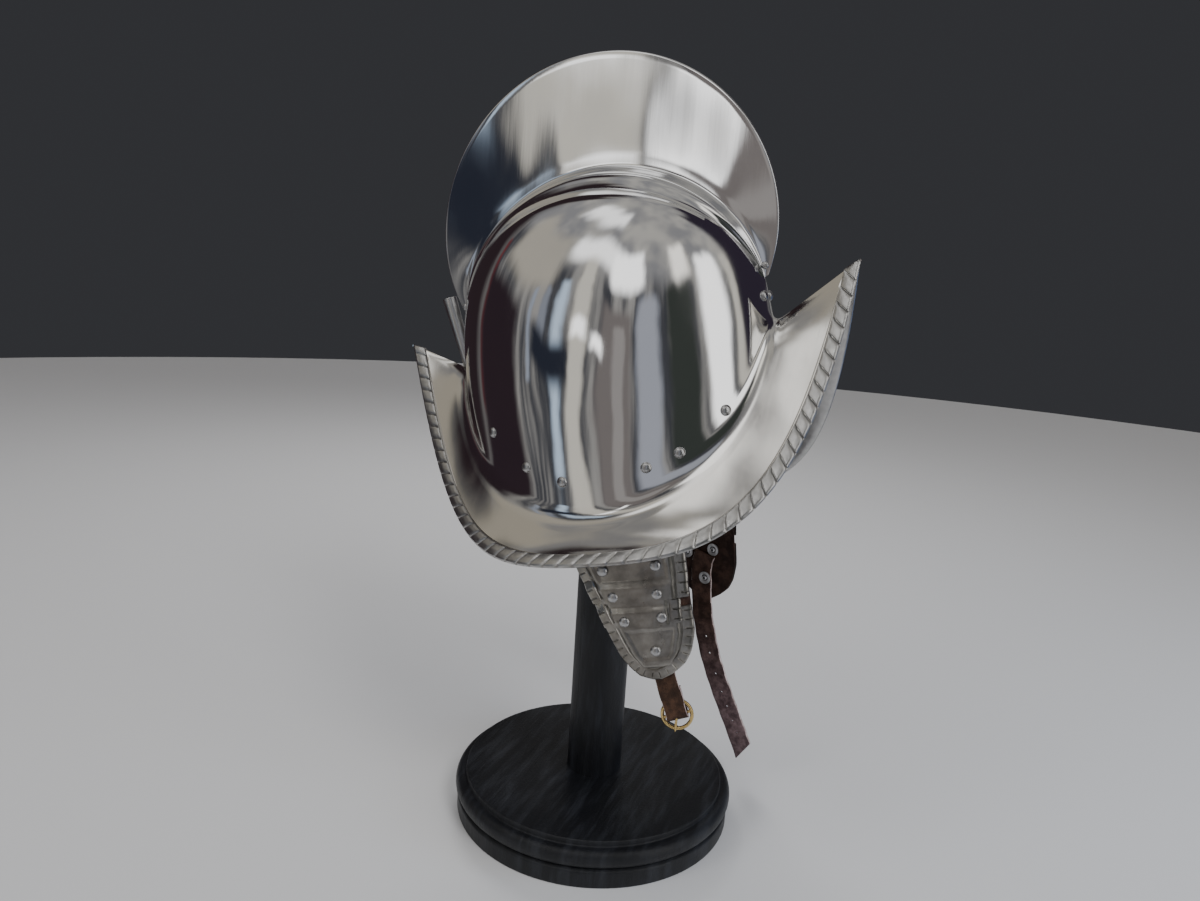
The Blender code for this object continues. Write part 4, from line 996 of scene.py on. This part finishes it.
def smooth_route(points, rows):
    padded = [2.0 * points[0] - points[1], *points, 2.0 * points[-1] - points[-2]]
    route = []
    for row in range(rows + 1):
        share = (len(points) - 1) * row / rows
        place = min(int(share), len(points) - 2)
        part = share - place
        before, first, last, after = padded[place:place + 4]
        route.append(0.5 * (
            2.0 * first + (last - before) * part
            + (2.0 * before - 5.0 * first + 4.0 * last - after) * part**2
            + (3.0 * first - before - 3.0 * last + after) * part**3
        ))
    return route


def strap(route, across, wide, slant=0.0):
    """A strap with rounded corners and slightly frayed edges, its last end cut on a slant."""
    half, thick, soft = 0.5 * wide, 0.5 * STRAP_THICK, 0.3 * STRAP_CORNER
    flat_half = half - STRAP_CORNER
    shape = [(lerp(-flat_half, flat_half, step / 8), thick) for step in range(9)]
    shape += [(half - soft, thick - soft), (half, 0.3 * thick)]
    shape += [(half, -0.3 * thick), (half - soft, soft - thick)]
    shape += [(-x, -y) for x, y in shape]
    rows = []
    for place, (point, way, side) in enumerate(zip(route, ways_along(route), across)):
        normal = way.cross(side).normalized()
        lean = slant * ease(0.86, 1.0, place / (len(route) - 1))
        ring = []
        for x, y in shape:
            fray = STRAP_FRAY * math.sin(37.0 * place + 2.1 * x / wide) if abs(x) > flat_half else 0.0
            ring.append(point + (x + fray) * side + y * normal + lean * x / wide * way)
        rows.append([*ring, ring[0]])
    caps = []
    for end, lean in ((0, 0.0), (-1, slant / wide)):
        ring, side = rows[end], across[end]
        centre = sum(ring[:-1], Vector()) / len(shape)
        line = side + lean * (route[-1] - route[-2]).normalized()
        caps.append([centre + (spot - centre).dot(side) * line for spot in ring])
    bm = laid_grid([caps[0], *rows, caps[1]])
    closed_up(bm)
    return bm


def show_cut_edges(piece, route, across):
    """Gives the second finish, pale with a painted highlight, to a strap's cut edges."""
    middles = [(HELMET @ point, HELMET.to_3x3() @ side) for point, side in zip(route, across)]
    for polygon in piece.data.polygons:
        _, side = min(middles, key=lambda entry: (entry[0] - polygon.center).length_squared)
        if abs(polygon.normal.dot(side)) > 0.35:
            polygon.material_index = 1


def punch_holes(piece, holes):
    """Cuts round holes (point, axis) right through a piece, and keeps only the cut mesh."""
    bm = bmesh.new()
    for point, axis in holes:
        bmesh.ops.create_cone(bm, cap_ends=True, segments=16, radius1=HOLE_WIDE, radius2=HOLE_WIDE,
                              depth=4.0 * STRAP_THICK, matrix=along(axis, point))
    punch = placed("punch", mesh_of("punch", bm))
    cut = piece.modifiers.new("punch", "BOOLEAN")
    cut.operation, cut.object = "DIFFERENCE", punch
    bpy.context.view_layer.update()
    made = bpy.data.meshes.new_from_object(piece.evaluated_get(bpy.context.evaluated_depsgraph_get()))
    piece.modifiers.clear()
    piece.data = made
    bpy.data.objects.remove(punch)


def build_long_strap():
    route = smooth_route([Vector(point) for point in LONG_STRAP_ROUTE], LONG_STRAP_ROWS)
    across = [way.cross(LONG_STRAP_OUT).normalized() for way in ways_along(route)]
    bm = strap(route, across, LONG_STRAP_WIDE, LONG_STRAP_SLANT)
    piece = finished("chin_strap", bm, [strap_leather, cut_edge_highlight], ["long_strap"], 45.0)
    show_cut_edges(piece, route, across)
    holes = []
    for share in LONG_STRAP_HOLES:
        place = share * (LONG_STRAP_ROWS - ROWS_ABOVE_RIVET)
        row = ROWS_ABOVE_RIVET + int(place)
        axis = (route[row + 1] - route[row]).cross(across[row]).normalized()
        point = lerp(route[row], route[row + 1], place - int(place))
        holes.append((HELMET @ point, HELMET.to_3x3() @ axis))
    punch_holes(piece, holes)


def build_buckle_strap():
    across_way = BUCKLE_WAY.cross(BUCKLE_OUT).normalized()
    run = (BUCKLE_BAR - BUCKLE_START).dot(BUCKLE_WAY)
    route = [BUCKLE_START + lerp(-BUCKLE_ABOVE, run, step / 24) * BUCKLE_WAY for step in range(24)]
    for step in range(13):
        turn = math.pi * step / 12
        route.append(BUCKLE_BAR + BUCKLE_FOLD * (math.cos(turn) * BUCKLE_OUT + math.sin(turn) * BUCKLE_WAY))
    for step in range(1, 9):
        route.append(BUCKLE_BAR - BUCKLE_FOLD * BUCKLE_OUT - BUCKLE_TAIL * step / 8 * BUCKLE_WAY)
    across = [across_way] * len(route)
    bm = strap(route, across, BUCKLE_STRAP_WIDE)
    piece = finished("buckle_leather", bm, [buckle_hide, cut_edge_highlight], ["buckle_strap"], 45.0)
    show_cut_edges(piece, route, across)
    axes = Matrix((across_way, BUCKLE_WAY, BUCKLE_OUT)).transposed().to_4x4()
    axes.translation = BUCKLE_BAR
    build_buckle_ring(axes)
    build_prong(axes)


def build_buckle_ring(axes):
    wire = [(BUCKLE_RING + BUCKLE_WIRE * math.cos(turn), 1.05 * BUCKLE_WIRE * math.sin(turn))
            for turn in (math.tau * step / 14 for step in range(15))]
    ring = turned(wire, 64, axes)
    bar = BAR_SHARE * BUCKLE_WIRE
    bmesh.ops.create_cone(ring, cap_ends=True, segments=14, radius1=bar, radius2=bar, depth=2.0 * BUCKLE_RING,
                          matrix=axes @ Matrix.Rotation(math.pi / 2, 4, "Y"))
    finished("ring_buckle", ring, [brass], ["buckle_ring"], 40.0)


def build_prong(axes):
    """The prong, from its eye round the bar to its tip on the ring."""
    eye = BUCKLE_WIRE + PRONG_GAP + PRONG_THICK
    path = []
    for step in range(17):
        turn = math.radians(lerp(-200.0, 0.0, step / 16))
        path.append(Vector((0.0, eye * math.sin(turn), eye * math.cos(turn))))
    for step in range(1, 9):
        part = step / 8
        reach = (BUCKLE_RING + BUCKLE_WIRE) * part
        path.append(Vector((PRONG_LEAN * part, reach, eye - 0.0004 * part**4)))
    rows = []
    for place, (point, way) in enumerate(zip(path, ways_along(path))):
        side = Vector((1.0, 0.0, 0.0))
        side = (side - side.dot(way) * way).normalized()
        up = way.cross(side)
        thin = 1.0 - 0.2 * ease(0.6, 1.0, place / (len(path) - 1))
        closed = 0.02 if place in (0, len(path) - 1) else 1.0
        radius = 1.12 * PRONG_THICK * thin * closed
        ring = [point + radius * (math.cos(turn) * side + math.sin(turn) * up)
                for turn in (math.tau * step / 12 for step in range(12))]
        rows.append([*ring, ring[0]])
    prong = laid_grid(rows)
    bmesh.ops.transform(prong, matrix=axes, verts=prong.verts[:])
    closed_up(prong)
    bmesh.ops.holes_fill(prong, edges=prong.edges[:], sides=16)
    bmesh.ops.recalc_face_normals(prong, faces=prong.faces[:])
    finished("prong", prong, [brass], ["buckle_prong"], 40.0)


# Plume holder and stand

def build_holder():
    floor = 3.0 * HOLDER_WALL
    slope = (HOLDER_TOP_WIDE - HOLDER_FOOT_WIDE) / HOLDER_LONG
    profile = [(0.0, 0.0), (HOLDER_FOOT_WIDE, 0.0), (HOLDER_TOP_WIDE, HOLDER_LONG),
               (HOLDER_TOP_WIDE - HOLDER_WALL, HOLDER_LONG),
               (HOLDER_FOOT_WIDE + slope * floor - HOLDER_WALL, floor), (0.0, floor)]
    bm = turned(rounded(profile, 0.0003), 48, along(HOLDER_AXIS, HOLDER_FOOT))
    finished("plume_tube", bm, [tube_steel], ["plume_holder"], 40.0)


def build_stand():
    profile = [(0.0, 0.0), (BASE_FOOT_WIDE, 0.0), (BASE_FOOT_WIDE, BASE_FOOT_HIGH)]
    middle, half = 0.5 * (BASE_ROLL_TOP + BASE_ROLL_LOW), 0.5 * (BASE_ROLL_TOP - BASE_ROLL_LOW)
    for step in range(13):
        turn = math.pi * (step / 12 - 0.5)
        profile.append((BASE_ROLL_WIDE + BASE_ROLL_OUT * math.cos(turn), middle + half * math.sin(turn)))
    profile += [(BASE_TOP_WIDE, BASE_ROLL_TOP + 0.0002), (BASE_TOP_WIDE, BASE_HIGH), (0.0700, BASE_HIGH),
                (0.0400, BASE_HIGH), (0.0, BASE_HIGH)]
    base = turned(rounded(profile, BASE_CORNER), 128)
    finished("base_turned", base, [black_paint], ["stand_base"], 32.0, None)
    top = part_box("stand_post")[1].z
    profile = [(0.0, BASE_HIGH)]
    profile += [(POST_WIDE, height) for height in (BASE_HIGH, 0.1200, 0.3000, top - POST_ROUND)]
    profile += [(POST_WIDE * share, top - POST_ROUND * share**2) for share in (0.8, 0.5, 0.0)]
    post = turned(profile, 96)
    finished("post_turned", post, [black_paint], ["stand_post"], 32.0, None)


# Studio

FLOOR_NEAR, FLOOR_FAR = 0.55, 3.0
CAMERA_SPOT, CAMERA_LENS = (-0.5974, -0.2148, 0.4064), 27.0
CAMERA_RIGHT, CAMERA_UP = (0.36488, -0.92900, 0.06185), (0.16304, 0.12916, 0.97813)
CAMERA_BACK = (-0.91667, -0.34681, 0.19859)
LAMPS = (
    # name, place, what it lights, size, power, colour
    ("key", (-0.9, -1.1, 1.5), (0.0, 0.0, 0.2), 0.7, 16.0, (1.0, 1.0, 1.0)),
    ("fill", (-1.2, 0.9, 1.1), (0.0, 0.0, 0.2), 0.6, 5.0, (1.0, 1.0, 1.0)),
    ("back", (1.0, 0.6, 1.3), (0.0, 0.0, 0.2), 0.8, 10.0, (1.0, 1.0, 1.0)),
    ("side", (0.1, -1.25, 0.5), (0.0, 0.0, 0.15), 0.6, 5.0, (0.66, 0.79, 1.0)),
)
BACKDROP = (0.035, 0.036, 0.040)
# Degrees by which noise bends the panels' edges
WOBBLE, SWAY = 7.0, 16.0
PANELS = (
    # azimuth from -X towards -Y and half width, low and high elevation, edge softness, colour
    (-126, 26, -30, 72, 7, (0.030, 0.020, 0.024)),
    (-97, 1.6, -12, 30, 1.5, (0.15, 0.035, 0.040)),
    (-80, 18, -30, 18, 4, (0.030, 0.020, 0.026)),
    (-66, 21, 25, 50, 5, (0.46, 0.43, 0.37)),
    (-52, 1.4, -4, 24, 1.2, (0.34, 0.38, 0.46)),
    (-44, 2, 6, 27, 1.4, (0.26, 0.28, 0.33)),
    (-35, 2.4, -20, 33, 1.8, (0.60, 0.74, 0.92)),
    (-39, 11, 2, 12.5, 3, (0.024, 0.028, 0.042)),
    (-24, 4.5, -26, 48, 1.5, (0.70, 0.67, 0.60)),
    (0, 12, -30, 30, 3, (0.20, 0.18, 0.175)),
    (2, 4, -30, 24, 1.5, (0.34, 0.32, 0.31)),
    (24, 7, -26, 34, 3, (0.40, 0.42, 0.48)),
    (48, 10, -30, 38, 3, (0.045, 0.052, 0.047)),
    (77, 10, -8, 46, 3, (2.0, 2.0, 2.0)),
    (97, 4, -10, 44, 2, (0.70, 0.67, 0.60)),
    (130, 28, -30, 74, 5, (0.032, 0.025, 0.040)),
    (120, 12, -40, 5, 3, (0.20, 0.32, 0.62)),
    (-22, 20, 44, 56, 4, (1.6, 1.6, 1.6)),
    (-44, 26, 65, 76, 4, (1.5, 1.5, 1.5)),
    (6, 14, 38, 54, 3, (2.0, 2.0, 2.0)),
    (52, 8, 40, 56, 3, (1.5, 1.45, 1.35)),
    (-24, 3.6, 13.5, 19, 1.8, (1.9, 1.9, 1.9)),
    (-13.5, 4, 11.8, 16, 1.8, (2.2, 2.2, 2.2)),
)


def build_world():
    """A dim backdrop for the camera. The steel sees panels and streaks of light round the room."""
    world = bpy.data.worlds.new("studio")
    world.use_nodes = True
    bpy.context.scene.world = world
    bench = Bench(world.node_tree)
    ray = bench.node("ShaderNodeTexCoord", {}, {}, "Generated")
    x, y, z = (bench.node("ShaderNodeSeparateXYZ", {}, {0: ray}, name) for name in "XYZ")
    level = bench.maths("MAXIMUM", (1.0 - z * z), 0.01) ** 0.5
    round_room = bench.node("ShaderNodeCombineXYZ", {}, {
        "X": bench.maths("DIVIDE", x, level), "Y": bench.maths("DIVIDE", y, level), "Z": z * 0.12})
    wobble = bench.noise(ray, 3.4, 3.0) - 0.5
    sway = bench.noise(round_room, 2.6, 3.0) - 0.5
    azimuth = bench.maths("ARCTAN2", y * -1.0, x * -1.0) * math.degrees(1.0) + WOBBLE * wobble
    height = bench.maths("ARCSINE", z) * math.degrees(1.0) + SWAY * sway
    streaks = bench.noise(round_room, 9.0, 3.0, 0.55).between(0.36, 0.66)
    walls = bench.mix(streaks, (0.060, 0.062, 0.072), (0.36, 0.35, 0.335))
    ceiling = bench.mix(bench.noise(ray, 4.0, 2.0).between(0.35, 0.65), (0.27, 0.27, 0.28), (0.50, 0.485, 0.45))
    light = bench.mix(height.between(34.0, 46.0), walls, ceiling)
    for centre, half, low, high, soft, colour in PANELS:
        beside = bench.node("ShaderNodeMath", {"operation": "WRAP"}, {0: azimuth - centre, 1: 180.0, 2: -180.0})
        aside = bench.maths("ABSOLUTE", beside)
        inside = (1.0 - aside.between(half - soft, half + soft)) * height.between(low - soft, low + soft)
        light = bench.mix(inside * (1.0 - height.between(high - soft, high + soft)), light, colour)
    seen = bench.node("ShaderNodeLightPath", {}, {}, "Is Camera Ray")
    shown = bench.mix(seen, light, BACKDROP)
    world.node_tree.links.new(shown.socket, world.node_tree.nodes["Background"].inputs["Color"])


def build_floor():
    """A near disc, and a ring round it that the steel doesn't mirror."""
    pale = finish_of("pale_floor", (0.60, 0.60, 0.61), 0.6)
    for name, inner, outer in (("floor", 0.0, FLOOR_NEAR), ("floor_far", FLOOR_NEAR, FLOOR_FAR)):
        bm = bmesh.new()
        bmesh.ops.create_circle(bm, cap_ends=inner == 0.0, segments=96, radius=outer)
        if inner:
            made = bmesh.ops.extrude_edge_only(bm, edges=bm.edges[:])
            ring = [part for part in made["geom"] if isinstance(part, bmesh.types.BMVert)]
            bmesh.ops.scale(bm, vec=(inner / outer, inner / outer, 1.0), verts=ring)
        bmesh.ops.recalc_face_normals(bm, faces=bm.faces[:])
        floor = placed(name, mesh_of(name, bm))
        floor.data.materials.append(pale)
        floor.visible_glossy = not inner


def build_studio():
    build_floor()
    camera = bpy.data.cameras.new("camera")
    camera.sensor_width, camera.lens = 36.0, CAMERA_LENS
    view = placed("camera", camera)
    turn = Matrix((CAMERA_RIGHT, CAMERA_UP, CAMERA_BACK)).transposed()
    view.matrix_world = Matrix.Translation(CAMERA_SPOT) @ turn.to_4x4()
    bpy.context.scene.camera = view
    for name, spot, aim, size, power, colour in LAMPS:
        light = bpy.data.lights.new(name, "AREA")
        light.shape, light.size, light.energy, light.color = "DISK", size, power, colour
        lamp = placed(name, light)
        lamp.visible_glossy = False
        lamp.location = spot
        lamp.rotation_euler = (Vector(aim) - Vector(spot)).to_track_quat("-Z", "Y").to_euler()


def main():
    tree = build_bowl()
    build_rope()
    for side in CHEEK_SWING:
        cheek = Cheek(tree, side)
        build_leather(cheek)
        for lame in LAMES:
            build_lame(cheek, lame)
    for node in sorted(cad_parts):
        if "_rivet_" in node:
            build_rivet(node)
    build_long_strap()
    build_buckle_strap()
    build_holder()
    build_stand()
    build_studio()
    build_world()


main()
